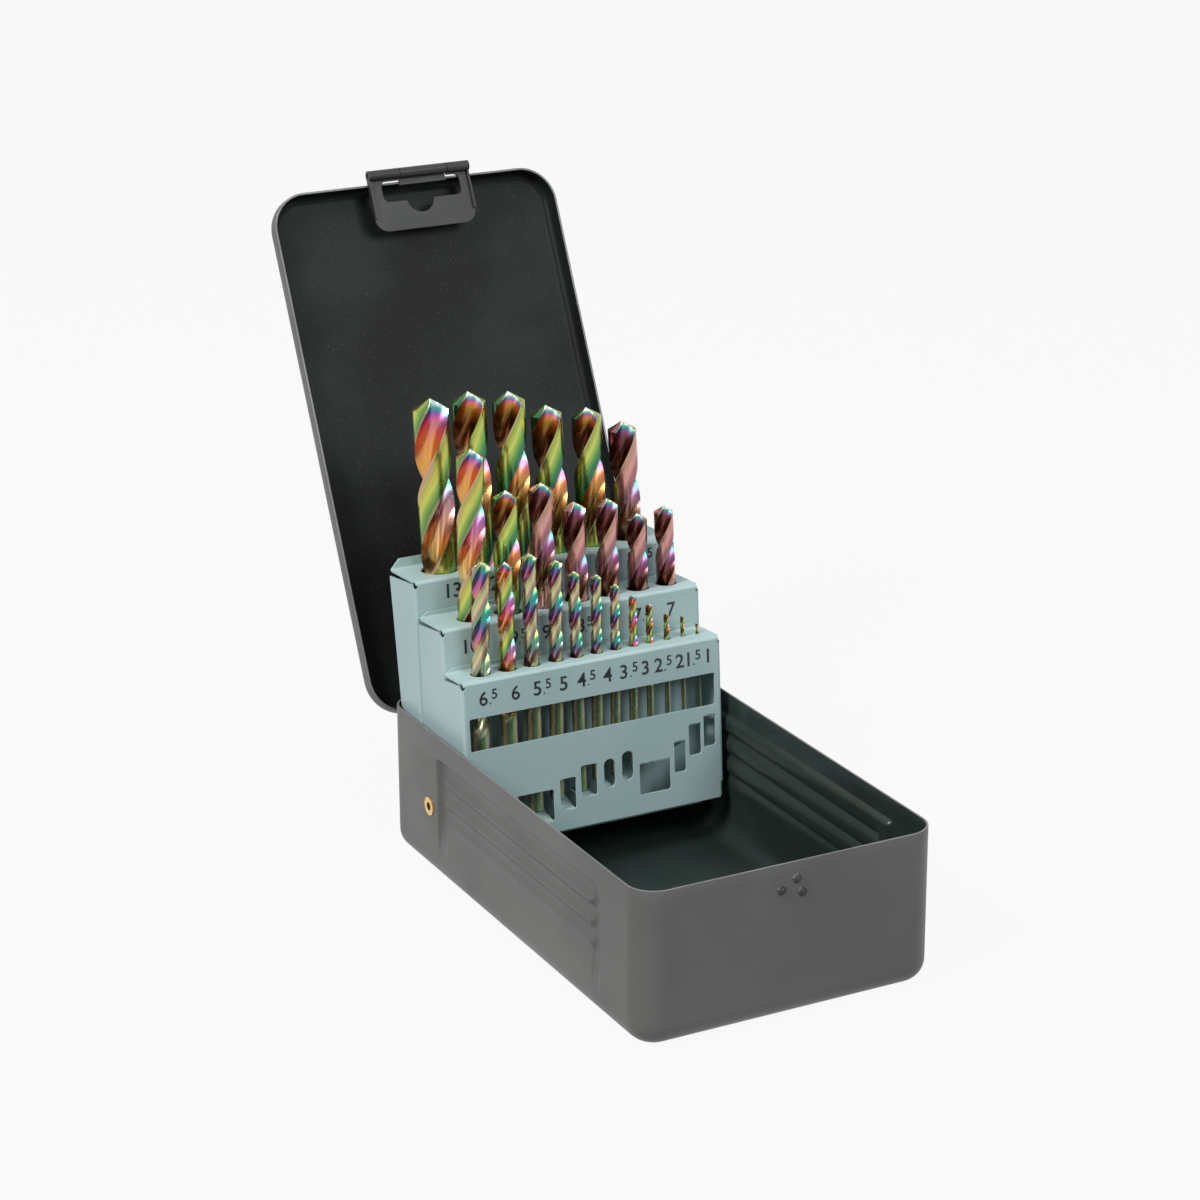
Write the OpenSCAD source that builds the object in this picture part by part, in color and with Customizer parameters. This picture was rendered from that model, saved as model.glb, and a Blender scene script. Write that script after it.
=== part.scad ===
// Sheet-steel drill case: pan, hinged lid with a clasp, and a three-step rack
// that folds down on two eyelets, holding twist drills from 1 to 13 mm.
// The lid is drawn open and the rack raised. Origin: middle of the underside.

/* [Base pan] */
// Length of the pan, front to rear
base_length = 189; // [150:1:230]
// Width of the pan
base_width = 110; // [90:1:140]
// Height of the pan
base_height = 55; // [45:0.5:70]
// Steel of the pan and the lid
pan_sheet = 0.8; // [0.6:0.05:1.2]
// Radius of the upright corners
base_corner = 10; // [8:0.5:16]
// Radius round the bottom edge
base_edge = 7.7; // [4:0.1:9]
// How deep the side panels are pressed in
panel_depth = 0.55; // [0.2:0.05:0.7]
// Front end of a side panel, from the pan's front
panel_front = 28; // [20:1:50]
// Rear end of a side panel, from the pan's rear
panel_back = 41; // [38:1:80]
// Top of a side panel under the pan's rim
panel_drop = 8.5; // [7:0.5:20]
// Bottom of a side panel
panel_bottom = 9; // [8:0.5:20]
// Height of one rib in a side panel
rib_height = 3.4; // [2:0.1:4]
// Step from rib to rib
rib_pitch = 7.5; // [6:0.1:9]
// Distance from a panel's end to the ribs
rib_inset = 5; // [3:0.5:10]
// How far a latch pip stands out
pip_height = 1.5; // [0.8:0.1:1.6]
// Width of a latch pip
pip_width = 4; // [3:0.1:5]
// Each pip's place, across and under the rim
pip_places = [[1.2, 6], [-4.3, 9], [3.3, 11]];

/* [Lid] */
// Depth of the lid
lid_depth = 7.7; // [6:0.1:12]
// Radius round the lid's outer edge
lid_edge = 3.9; // [2:0.1:5]
// Radius of the lid's corners in plan
lid_corner = 13.5; // [10:0.5:18]
// Room between the lid and the pan's sides
lid_side_gap = 1.1; // [0.5:0.05:2]
// Room between the lid and the pan's front
lid_front_gap = 1.3; // [0.5:0.05:2]
// Room between the lid and the pan's rear
lid_rear_gap = 0.7; // [0.5:0.05:2]
// How far the shut lid laps over the pan's rim
lid_lap = 2.7; // [1:0.1:7]
// How far the lid is open
lid_open = 115.8; // [0:0.1:116]

/* [Lid hinge] */
// Sheet of both hinge leaves
leaf_sheet = 0.55; // [0.4:0.05:0.8]
// Outer radius of a hinge knuckle
knuckle_radius = 1.6; // [1.4:0.05:2.2]
// Radius of the hinge wire
wire_radius = 1; // [0.8:0.05:1.2]
// Running gap round each wire
wire_gap = 0.05; // [0.02:0.01:0.1]
// Gap between a lid knuckle and the pan
knuckle_wall_gap = 0.2; // [0.1:0.05:0.5]
// Hinge line under the pan's rim
hinge_drop = 7.4; // [5:0.1:11]
// Distance from the pan's side to the end of the hinge
hinge_inset = 12.7; // [11:0.1:30]
// Gap between two knuckles
knuckle_gap = 0.4; // [0.2:0.05:1]
// Height of the leaf on the pan
base_leaf_height = 12; // [8:0.5:20]
// Height of the leaf on the lid
lid_leaf_height = 4.6; // [3:0.1:5]

/* [Clasp] */
// Left side of the clasp
clasp_left = -18; // [-25:0.5:-10]
// Right side of the clasp
clasp_right = 22.5; // [10:0.5:25]
// Length of the clasp from its hinge line
clasp_length = 21; // [15:0.5:25]
// Thickness of the clasp
clasp_sheet = 0.8; // [0.6:0.05:1.2]
// Radius of the clasp's free corners
clasp_corner = 5; // [2:0.5:8]
// How far the side rims stand up
clasp_rim = 1.1; // [0.5:0.1:2]
// Left end of the clasp's slot
slot_left = -13; // [-16:0.5:-5]
// Right end of the clasp's slot
slot_right = 18.5; // [5:0.5:20]
// Near side of the slot from the hinge line
slot_near = 2.4; // [2.3:0.1:5]
// Far side of the slot from the hinge line
slot_far = 10.2; // [8:0.1:14]
// Middle of the rounded bay in the slot
bay_middle = 1.5; // [-5:0.5:8]
// Radius of the rounded bay
bay_radius = 5.5; // [3:0.1:7]
// How far the bay reaches from the hinge line
bay_reach = 15.1; // [12:0.1:17]
// Outer radius of the clasp's barrel
barrel_radius = 1.9; // [1.6:0.05:2.5]
// Hinge line of the clasp in front of the lid
barrel_reach = 2.8; // [2.3:0.1:4]
// Left end of the lid's barrel
barrel_left = -5.5; // [-10:0.5:0]
// Right end of the lid's barrel
barrel_right = 13.2; // [5:0.1:15]
// Gap beside the lid's barrel
barrel_gap = 0.3; // [0.2:0.05:1]
// Room between the folded clasp and the lid's rim
clasp_rim_gap = 0.2; // [0.1:0.05:0.5]
// Sheet of the lid's barrel bracket
bracket_sheet = 0.6; // [0.5:0.05:0.8]

/* [Rack pivots] */
// Pivot distance from the pan's rear
pivot_from_rear = 34; // [30:0.5:60]
// Pivot height over the table
pivot_height = 26.6; // [20:0.1:35]
// Outer radius of the eyelet's barrel
eyelet_radius = 2.1; // [1.5:0.05:3]
// Bore radius of the eyelet
eyelet_bore = 1.5; // [0.8:0.05:2]
// Radius of the eyelet's outer flange
eyelet_flange = 3.3; // [2.5:0.1:4]
// Radius of the eyelet's rolled inner flange
eyelet_roll = 3; // [2.5:0.1:4]
// Thickness of both flanges
eyelet_sheet = 0.5; // [0.3:0.05:0.8]
// Running gap round the eyelet
eyelet_gap = 0.06; // [0.02:0.01:0.1]
// Radius of the spacer bush
spacer_radius = 4.2; // [3:0.1:5]
// Side play of the rack on each pivot
rack_play = 0.1; // [0.05:0.05:0.3]

/* [Rack sheets] */
// How far the raised rack leans back
rack_lean = 4; // [0:0.5:10]
// Sheet of the rack
rack_sheet = 0.65; // [0.5:0.05:1]
// Room between the rear sheet and the pan's wall
rack_side_room = 2.5; // [1.7:0.1:6]
// How much wider the rear sheet is on each side than the two before it
rack_step = 0.9; // [0.3:0.1:2]
// Gap where one sheet meets the next
rack_nest_gap = 0.05; // [0.02:0.01:0.2]
// Outer bend radius of the sheets
rack_bend = 1.3; // [0.8:0.05:2]
// Front of the small-drill sheet, from the pivot
small_front = -22.2; // [-30:0.1:-15]
// Top of the small-drill sheet, from the pivot
small_top = 49.65; // [30:0.05:70]
// Bottom of the small-drill sheet
small_bottom = -10.5; // [-12:0.1:5]
// Front of the middle sheet
medium_front = -7.8; // [-15:0.1:0]
// Top of the middle sheet
medium_top = 65.2; // [50:0.1:90]
// Bottom of the middle sheet
medium_bottom = -17; // [-20:0.1:0]
// Front of the large-drill sheet
large_front = 11; // [5:0.1:15]
// Top of the large-drill sheet
large_top = 78.1; // [60:0.1:100]
// Bottom of the large-drill sheet
large_bottom = -12.5; // [-15:0.1:0]
// Side depth of the large-drill sheet at the top
large_side = 20.6; // [18:0.1:22]
// Forward slope of its rear edge, per mm
large_taper = 0.087; // [0:0.001:0.15]
// Gap behind each top flange
flange_gap = 0.3; // [0.2:0.1:3]
// How far the bend at the front of a flange stays inside the side's face
flange_side_gap = 0.9; // [0.7:0.05:1.3]
// How far the rest of a flange stays inside the side's face
flange_edge_gap = 0.3; // [0.1:0.05:0.6]
// Height of the upturned lip on the first two flanges
lip_height = 2; // [1.6:0.1:4]
// Height of the upturned lip on the rear flange
large_lip = 3.6; // [1.6:0.1:5]
// How much a lip's ends slope in
lip_slope = 3.3; // [1:0.1:6]
// Drop of the side's top edge at the front
side_drop_front = 1; // [0.5:0.1:3]
// Drop of the side's top edge at the rear
side_drop_rear = 2.4; // [1:0.1:6]
// Relief hole at the corner of the bends
relief_radius = 0.65; // [0.4:0.05:1.2]
// Width of the notch at a lower corner
foot_notch = 1.6; // [1.4:0.1:4]
// Height of the notch at a lower corner
foot_notch_height = 6; // [3:0.5:10]
// Depth of the bottom flange of the middle sheet
medium_floor = 17; // [14:0.5:20]
// Depth of the bottom flange of the large sheet
large_floor = 15.4; // [12:0.1:18]

/* [Rack windows] */
// Places across the rack are in hundredths of its half width.
// Left end of the long window
window_left = -93.42; // [-96:0.1:-60]
// Right end of the long window
window_right = 92.84; // [60:0.1:96]
// Bottom of the long window
window_low = 24.6; // [20:0.1:30]
// Top of the long window
window_high = 36.5; // [30:0.1:45]
// Corner radius of the windows
window_corner = 0.9; // [0.3:0.1:2]
// Height of the drill stops' windows
stop_window = 11.8; // [8:0.1:14]
// Low edges of the windows with a tongue from below
low_tongue_edge = [-6.4, -3.4, 0, 1.5, 3.0];
// Left sides of those windows
low_tongue_left = [-61.51, -28.63, -12.57, 5.03, 18.96];
// Right sides of those windows
low_tongue_right = [-33.27, -16.44, -0.19, 13.73, 27.85];
// High edges of the windows with a tongue from above
high_tongue_edge = [8.2, 13.8, 19.1, 21.3];
// Left sides of those windows
high_tongue_left = [32.3, 59.57, 71.37, 83.17];
// Right sides of those windows
high_tongue_right = [56.48, 68.86, 81.04, 92.65];
// Gap beside a tongue
tongue_gap = 0.4; // [0.2:0.05:0.8]
// How far a tongue's root is sunk into the sheet
tongue_sink = 0.15; // [0.05:0.05:0.4]
// Left end of the stop for the 10 mm drill
high_stop_left = -84.72; // [-88:0.1:-81]
// Right end of that stop
high_stop_right = -64.99; // [-68:0.1:-58]

/* [Drills] */
// Drill sizes in the front row
small_sizes = [6.5, 6, 5.5, 5, 4.5, 4, 3.5, 3, 2.5, 2, 1.5, 1];
// Where the front row's holes are, in hundredths of the rack's half width
small_places = [-77.37, -57.45, -39.26, -21.08, -5.61, 9.86, 23.98, 37.91, 50.68, 64.02, 76.4, 87.81];
// Tilt to the right of each drill in the front row
small_tilts = [3.2, 1.2, 0.8, 2.0, 0.3, 1.7, 1.8, 1.7, 1.2, 0.8, 0.8, -1];
// How each drill in the front row is turned
small_turns = [-13, -41, -14, -9, -21, -21, -21, -24, -24, -24, -24, -24];
// How far each drill stands out of the front row
small_shown = [39.9, 38.3, 39.9, 36, 30.8, 28.2, 23.6, 18.3, 14.1, 9.6, 7.5, 3.8];
// Overall lengths in the front row
small_lengths = [100.5, 93, 93, 86, 80, 75, 70, 61, 57, 49, 40, 34];
// Flute lengths in the front row
small_flutes = [63, 57, 57, 52, 47, 43, 39, 33, 30, 24, 18, 12];
// Holes behind the front of the front row
small_back = 7.2; // [6:0.1:9]
// Drill sizes in the middle row
medium_sizes = [10, 9.5, 9, 8.5, 8, 7.5, 7];
// Where the middle row's holes are, likewise
medium_places = [-68.09, -40.81, -14.7, 11.61, 35.4, 58.61, 80.85];
// Tilt to the right of each drill in the middle row
medium_tilts = [2.4, 1.3, 1.5, 0, 1.3, 1.2, -0.4];
// How each drill in the middle row is turned
medium_turns = [-24, -35, -30, -7, -15, -35, -19];
// Overall lengths in the middle row
medium_lengths = [133, 125, 125.7, 117, 116.2, 109, 110];
// Flute lengths in the middle row
medium_flutes = [87, 81, 81, 75, 75, 69, 69];
// Holes behind the front of the middle row
medium_back = 8.1; // [7:0.1:11]
// Height at which the ten is stopped
ten_stop = -7.8; // [-12:0.1:0]
// Drill sizes in the rear row
large_sizes = [13, 12.5, 12, 11.5, 11, 10.5];
// Where the rear row's holes are, likewise
large_places = [-70.99, -41.59, -12.19, 16.83, 46.03, 73.89];
// Tilt to the right of each drill in the rear row
large_tilts = [-0.6, -1.2, -1, -1.7, -0.8, -1.4];
// How each drill in the rear row is turned
large_turns = [-7, -26, -34, -22, -40, -20];
// Overall lengths in the rear row
large_lengths = [151.5, 152, 150, 143, 140, 133];
// Flute lengths in the rear row
large_flutes = [101, 101, 101, 94, 94, 87];
// Holes behind the front of the rear row
large_back = 10.5; // [9.5:0.1:12]
// Gap round a drill in its hole
drill_gap = 0.3; // [0.1:0.05:0.5]
// Gap under a drill
drill_rest = 0.06; // [0.02:0.01:0.1]
// Helix angle of the flutes
helix = 29; // [20:1:35]
// Half of the point angle
point_half = 59; // [50:1:70]

/* [Hidden] */
$fn = 48;
rear = base_length / 2;
front = -rear;
side = base_width / 2;
lid_rear = rear + lid_rear_gap + pan_sheet;
lid_front = front - lid_front_gap - pan_sheet;
lid_side = side + lid_side_gap + pan_sheet;
lid_rim = base_height - lid_lap;
lid_top = lid_rim + lid_depth;
hinge_y = rear + knuckle_wall_gap + knuckle_radius;
hinge_height = base_height - hinge_drop;
clasp_y = lid_front - barrel_reach;
clasp_z = lid_rim - barrel_radius;
clasp_in = barrel_radius - clasp_rim_gap;
pivot_y = rear - pivot_from_rear;
panel_rear = base_length - panel_back;
panel_top = base_height - panel_drop;
rack_half_width = side - pan_sheet - rack_side_room;
spread = rack_half_width / 100;
small_x = [for (x = small_places) x * spread];
medium_x = [for (x = medium_places) x * spread];
large_x = [for (x = large_places) x * spread];
small_half = rack_half_width - rack_step;
medium_half = small_half;
small_side = medium_front - small_front - rack_nest_gap;
medium_side = large_front - medium_front - rack_nest_gap;
spacer_out = side - pan_sheet;
spacer_in = medium_half + rack_play;
hinge_half = side - hinge_inset;
hinge_pitch = (hinge_half + knuckle_gap / 2) / 2.5;
knuckle_width = hinge_pitch - knuckle_gap;
medium_seat = medium_bottom + rack_sheet + drill_rest;
large_seat = large_bottom + rack_sheet + drill_rest;
small_row = small_front + small_back;
medium_row = medium_front + medium_back;
large_row = large_front + large_back;

// ---------- pans ----------

// Quarter of the pan's outline, turned for the corners.
module corner_profile(rc, re, h) {
    intersection() {
        union() {
            translate([0, re]) square([rc, h - re]);
            square([rc - re, h]);
            translate([rc - re, re]) circle(re);
        }
        square([rc, h]);
    }
}

// Straight stretch of the pan's edge.
module edge_profile(rc, re, h) {
    corner_profile(rc, re, h);
}

// Solid block with round upright corners and a round bottom edge.
module round_block(x0, x1, y0, y1, h, rc, re) {
    translate([x0 + rc, y0 + rc, 0]) cube([x1 - x0 - 2 * rc, y1 - y0 - 2 * rc, h]);
    for (x = [x0 + rc, x1 - rc])
        for (y = [y0 + rc, y1 - rc])
            translate([x, y, 0]) rotate_extrude() corner_profile(rc, re, h);
    for (s = [0, 1]) {
        translate([s == 0 ? x0 + rc : x1 - rc, y0 + rc, 0])
            mirror([1 - s, 0, 0])
                rotate([90, 0, 0]) mirror([0, 0, 1])
                    linear_extrude(y1 - y0 - 2 * rc) edge_profile(rc, re, h);
        translate([x0 + rc, s == 0 ? y0 + rc : y1 - rc, 0])
            mirror([0, 1 - s, 0])
                rotate([90, 0, 90])
                    linear_extrude(x1 - x0 - 2 * rc) edge_profile(rc, re, h);
    }
}

// Block with square edges rounded in plan, used for pressed panels.
module soft_plate(y0, y1, z0, z1, r, depth) {
    rotate([90, 0, 90])
        linear_extrude(depth) {
            translate([y0 + r, z0]) square([y1 - y0 - 2 * r, z1 - z0]);
            translate([y0, z0 + r]) square([y1 - y0, z1 - z0 - 2 * r]);
            for (y = [y0 + r, y1 - r])
                for (z = [z0 + r, z1 - r])
                    translate([y, z]) circle(r);
        }
}

// The side panel's recess as seen from outside, on the right-hand wall.
module panel_press(extra) {
    difference() {
        soft_plate(front + panel_front - extra, front + panel_rear + extra,
            panel_bottom, panel_top + extra, 2.5, panel_depth);
        for (i = [0 : 2])
            translate([-1, 0, 0])
                soft_plate(front + panel_front + rib_inset + extra,
                    front + panel_rear - rib_inset - extra,
                    panel_top - 5 - i * rib_pitch - rib_height + extra,
                    panel_top - 5 - i * rib_pitch - extra,
                    1.2 - extra, panel_depth + 2);
    }
}

// Latch pip on the front wall.
module pip(x, z, grow) {
    ball = (pow(pip_width / 2, 2) + pow(pip_height, 2)) / (2 * pip_height);
    translate([x, front - pip_height + ball, z]) sphere(ball + grow);
}

module pips(grow) {
    for (p = pip_places) pip(p[0], base_height - p[1], grow);
}

module base_pan() {
    color([0.42, 0.42, 0.41])
        difference() {
            union() {
                difference() {
                    union() {
                        round_block(-side, side, front, rear, base_height, base_corner, base_edge);
                        intersection() {
                            pips(0);
                            translate([-10, front - 5, base_height - 15]) cube([20, 5, 14]);
                        }
                    }
                    translate([0, 0, pan_sheet])
                        round_block(-side + pan_sheet, side - pan_sheet, front + pan_sheet,
                            rear - pan_sheet, base_height, base_corner - pan_sheet,
                            base_edge - pan_sheet);
                    intersection() {
                        pips(-pan_sheet / 2);
                        translate([-10, front - 5, base_height - 15]) cube([20, 5 + 2 * pan_sheet, 14]);
                    }
                }
                for (m = [0, 1])
                    mirror([m, 0, 0])
                        translate([side - pan_sheet - panel_depth, 0, 0]) panel_press(pan_sheet / 4);
            }
            for (m = [0, 1])
                mirror([m, 0, 0])
                    translate([side - panel_depth, 0, 0]) panel_press(-pan_sheet / 4);
            translate([-side - 1, pivot_y, pivot_height])
                rotate([0, 90, 0]) cylinder(r = eyelet_radius + eyelet_gap, h = base_width + 2);
        }
}

// ---------- lid hinge ----------

module knuckle_tube(x0, x1) {
    translate([x0, hinge_y, hinge_height])
        rotate([0, 90, 0])
            difference() {
                cylinder(r = knuckle_radius, h = x1 - x0);
                translate([0, 0, -1]) cylinder(r = wire_radius + wire_gap, h = x1 - x0 + 2);
            }
}

function knuckle_x(i) = (i - 2.5) * hinge_pitch + knuckle_gap / 2;

module base_hinge_leaf() {
    color([0.36, 0.37, 0.36]) {
        translate([-hinge_half, rear, hinge_height - knuckle_radius - base_leaf_height])
            cube([2 * hinge_half, leaf_sheet, base_leaf_height - knuckle_gap]);
        for (i = [0, 2, 4]) {
            knuckle_tube(knuckle_x(i), knuckle_x(i) + knuckle_width);
            translate([knuckle_x(i), rear, hinge_height - knuckle_radius - 2 * knuckle_gap])
                cube([knuckle_width, leaf_sheet, knuckle_radius + 2 * knuckle_gap]);
        }
    }
}

module hinge_wire() {
    color([0.6, 0.6, 0.58])
        translate([-hinge_half, hinge_y, hinge_height])
            rotate([0, 90, 0]) cylinder(r = wire_radius, h = 2 * hinge_half);
}

// Everything drawn on the shut lid is turned open about the hinge line.
module opened() {
    translate([0, hinge_y, hinge_height])
        rotate([-lid_open, 0, 0])
            translate([0, -hinge_y, -hinge_height]) children();
}

module lid_shell() {
    color([0.3, 0.32, 0.32])
        opened()
            difference() {
                translate([0, 0, lid_top]) mirror([0, 0, 1])
                    round_block(-lid_side, lid_side, lid_front, lid_rear, lid_depth,
                        lid_corner, lid_edge);
                translate([0, 0, lid_top - pan_sheet]) mirror([0, 0, 1])
                    round_block(-lid_side + pan_sheet, lid_side - pan_sheet,
                        lid_front + pan_sheet, lid_rear - pan_sheet, lid_depth,
                        lid_corner - pan_sheet, lid_edge - pan_sheet);
            }
}

module lid_hinge_leaf() {
    color([0.36, 0.37, 0.36])
        opened() {
            translate([-hinge_half, lid_rear, lid_rim - leaf_sheet])
                cube([2 * hinge_half, leaf_sheet, lid_leaf_height - leaf_sheet]);
            for (i = [1, 3]) {
                knuckle_tube(knuckle_x(i), knuckle_x(i) + knuckle_width);
                translate([knuckle_x(i), lid_rear, hinge_height + wire_radius + 2 * wire_gap])
                    cube([knuckle_width, leaf_sheet, lid_rim - hinge_height - wire_radius]);
            }
        }
}

// ---------- clasp ----------

module barrel_tube(x0, x1) {
    translate([x0, clasp_y, clasp_z])
        rotate([0, 90, 0])
            difference() {
                cylinder(r = barrel_radius, h = x1 - x0);
                translate([0, 0, -1]) cylinder(r = wire_radius + wire_gap, h = x1 - x0 + 2);
            }
}

module clasp_bracket() {
    inner = lid_front + pan_sheet;
    color([0.33, 0.34, 0.34])
        opened() {
            barrel_tube(barrel_left, barrel_right);
            translate([barrel_left, clasp_y, lid_rim - bracket_sheet])
                cube([barrel_right - barrel_left, inner + bracket_sheet - clasp_y, bracket_sheet]);
            translate([barrel_left, inner, lid_rim - bracket_sheet])
                cube([barrel_right - barrel_left, bracket_sheet, 4]);
        }
}

module clasp_wire() {
    color([0.6, 0.6, 0.58])
        opened()
            translate([clasp_left + 0.6, clasp_y, clasp_z])
                rotate([0, 90, 0]) cylinder(r = wire_radius, h = clasp_right - clasp_left - 1.2);
}

// Outline of the clasp: x across, y away from its hinge line.
module clasp_outline() {
    w = clasp_right - clasp_left;
    translate([clasp_left, 0]) square([w, clasp_length - clasp_corner]);
    translate([clasp_left + clasp_corner, 0]) square([w - 2 * clasp_corner, clasp_length]);
    for (x = [clasp_left + clasp_corner, clasp_right - clasp_corner])
        translate([x, clasp_length - clasp_corner]) circle(clasp_corner);
}

module slot_outline() {
    r = 2;
    translate([slot_left + r, slot_near]) square([slot_right - slot_left - 2 * r, slot_far - slot_near]);
    translate([slot_left, slot_near + r])
        square([slot_right - slot_left, slot_far - slot_near - 2 * r]);
    for (x = [slot_left + r, slot_right - r])
        for (y = [slot_near + r, slot_far - r])
            translate([x, y]) circle(r);
    translate([bay_middle, bay_reach - bay_radius]) circle(bay_radius);
}

// Drawn folded against the lid's rim, plate on the lid's side of the wire.
module clasp() {
    notch_left = barrel_left - barrel_gap;
    notch_right = barrel_right + barrel_gap;
    color([0.27, 0.27, 0.27])
        opened()
            translate([0, clasp_y, clasp_z])
                difference() {
                    union() {
                        translate([0, 0, clasp_in - clasp_sheet])
                            linear_extrude(clasp_sheet)
                                difference() {
                                    clasp_outline();
                                    slot_outline();
                                }
                        for (x = [clasp_left, clasp_right - clasp_sheet])
                            translate([x, 0, clasp_in - clasp_sheet - clasp_rim])
                                cube([clasp_sheet, clasp_length - clasp_corner, clasp_rim + 0.1]);
                        translate([clasp_left, 0, 0]) rotate([0, 90, 0])
                            cylinder(r = barrel_radius, h = clasp_right - clasp_left);
                    }
                    translate([notch_left, -3, -3])
                        cube([notch_right - notch_left, 3 + slot_near + 0.4, 6]);
                    translate([clasp_left - 1, 0, 0]) rotate([0, 90, 0])
                        cylinder(r = wire_radius + wire_gap, h = clasp_right - clasp_left + 2);
                }
}

// ---------- rack pivots ----------

module eyelet(m) {
    reach = side - (medium_half - rack_sheet - rack_play);
    color([0.75, 0.56, 0.22])
        mirror([m, 0, 0])
            translate([side, pivot_y, pivot_height])
                rotate([0, -90, 0])
                    rotate_extrude() {
                        translate([eyelet_bore, -eyelet_sheet]) square([eyelet_radius - eyelet_bore,
                            reach + 2 * eyelet_sheet]);
                        translate([eyelet_bore, -eyelet_sheet])
                            square([eyelet_flange - eyelet_bore, eyelet_sheet]);
                        translate([eyelet_bore, reach])
                            square([eyelet_roll - eyelet_bore, eyelet_sheet]);
                    }
}

module eyelet_left() { eyelet(1); }
module eyelet_right() { eyelet(0); }

module spacer(m) {
    color([0.55, 0.55, 0.53])
        mirror([m, 0, 0])
            translate([spacer_in, pivot_y, pivot_height])
                rotate([0, 90, 0])
                    difference() {
                        cylinder(r = spacer_radius, h = spacer_out - spacer_in);
                        translate([0, 0, -1])
                            cylinder(r = eyelet_radius + eyelet_gap, h = spacer_out - spacer_in + 2);
                    }
}

module spacer_left() { spacer(1); }
module spacer_right() { spacer(0); }

// ---------- rack ----------

// The rack is drawn about its pivot: x across, y back, z up its own sheets.
module raised() {
    translate([0, pivot_y, pivot_height]) rotate([-rack_lean, 0, 0]) children();
}

// U of sheet seen from above, open at the rear.
module u_outline(half, deep) {
    r = rack_bend;
    q = rack_bend - rack_sheet;
    difference() {
        union() {
            translate([-half, r]) square([2 * half, deep - r]);
            translate([-half + r, 0]) square([2 * (half - r), deep]);
            for (x = [-half + r, half - r]) translate([x, r]) circle(r);
        }
        translate([-half + rack_sheet, r]) square([2 * (half - rack_sheet), deep]);
        translate([-half + r, rack_sheet]) square([2 * (half - r), deep]);
        for (x = [-half + r, half - r]) translate([x, r]) circle(q);
    }
}

// Front sheet bending into the top flange, seen from the side.
module bend_outline(drop, deep) {
    r = rack_bend;
    q = rack_bend - rack_sheet;
    translate([0, -drop]) square([rack_sheet, drop - r]);
    translate([r, -rack_sheet]) square([deep - r, rack_sheet]);
    difference() {
        translate([r, -r]) circle(r);
        translate([r, -r]) circle(q);
        translate([r, -2 * r]) square(2 * r);
        translate([-r, -2 * r]) square([3 * r, r]);
    }
}

// Flange turning up into a lip at its rear, seen from the side.
module lip_outline(deep, lip) {
    r = rack_bend;
    q = rack_bend - rack_sheet;
    translate([r, -rack_sheet]) square([deep - 2 * r, rack_sheet]);
    translate([deep - rack_sheet, q]) square([rack_sheet, lip - q]);
    difference() {
        translate([deep - r, q]) circle(r);
        translate([deep - r, q]) circle(q);
        translate([deep - 2 * r - 1, q]) square([3 * r + 1, 2 * r]);
        translate([deep - 2 * r - 1, -2 * r]) square([r + 1, 4 * r]);
    }
}

// Formed sheet: half width, front, top, bottom, side depth, flange depth, lip, rear slope.
module rack_sheet_body(half, u, top, bottom, deep, flange, lip, slope) {
    fh = half - flange_side_gap;
    edge = half - flange_edge_gap;
    lift = top - rack_bend - relief_radius;
    difference() {
        union() {
            translate([0, u, bottom]) linear_extrude(top - side_drop_front - bottom)
                u_outline(half, deep);
            translate([-fh, u, top]) rotate([90, 0, 90])
                linear_extrude(2 * fh) bend_outline(2 * rack_bend + 2, 2 * rack_bend);
            translate([-edge, u, top]) rotate([90, 0, 90])
                linear_extrude(2 * edge) lip_outline(flange, lip);
        }
        // front corners stop at the relief holes
        for (s = [-1, 1])
            translate([s > 0 ? fh : -half - 1, u - 1, lift])
                cube([half + 1 - fh, 1 + rack_bend + 0.4, 10]);
        for (s = [-1, 1])
            translate([s * fh, u - 1, lift]) rotate([-90, 0, 0]) cylinder(r = relief_radius, h = 1 + rack_bend);
        // a band across the front between the flange's bend and the U is one sheet
        translate([-fh, u + rack_sheet, lift]) cube([2 * fh, rack_bend, rack_sheet]);
        // side edges fall towards the rear
        translate([-half - 1, u, top]) rotate([90, 0, 90])
            linear_extrude(2 * half + 2)
                polygon([
                    [rack_bend, -side_drop_front], [deep + 1, -side_drop_rear],
                    [deep + 1, -rack_sheet - 0.01], [rack_bend, -rack_sheet - 0.01]
                ]);
        // sloped rear edge of the sides
        if (slope > 0)
            translate([-half - 1, u + deep, top]) rotate([90, 0, 90])
                linear_extrude(2 * half + 2)
                    polygon([
                        [0, -side_drop_rear], [3, 0], [12, 0], [12, bottom - top - 1],
                        [(bottom - top) * slope, bottom - top - 1],
                        [(bottom - top) * slope, bottom - top]
                    ]);
        // ends of the lip
        for (s = [-1, 1])
            translate([0, u + flange + 1, top]) rotate([90, 0, 0])
                linear_extrude(rack_bend + 1)
                    polygon([
                        [s * edge, 0], [s * (edge - lip_slope), lip],
                        [s * (edge - lip_slope), lip + 1], [s * (edge + 1), lip + 1],
                        [s * (edge + 1), 0]
                    ]);
    }
}

module drill_holes(u, top, sizes, places) {
    for (i = [0 : len(sizes) - 1])
        translate([places[i], u, top - 2]) cylinder(r = sizes[i] / 2 + drill_gap, h = 4);
}

// Window through a front sheet with small corner radii.
module window_cut(u, left, right, z0, z1, r) {
    x0 = left * spread;
    x1 = right * spread;
    translate([0, u - 1, 0]) rotate([90, 0, 0]) mirror([0, 0, 1])
        linear_extrude(rack_sheet + 2) {
            translate([x0 + r, z0]) square([x1 - x0 - 2 * r, z1 - z0]);
            translate([x0, z0 + r]) square([x1 - x0, z1 - z0 - 2 * r]);
            for (x = [x0 + r, x1 - r])
                for (z = [z0 + r, z1 - r])
                    translate([x, z]) circle(r);
        }
}

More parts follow.
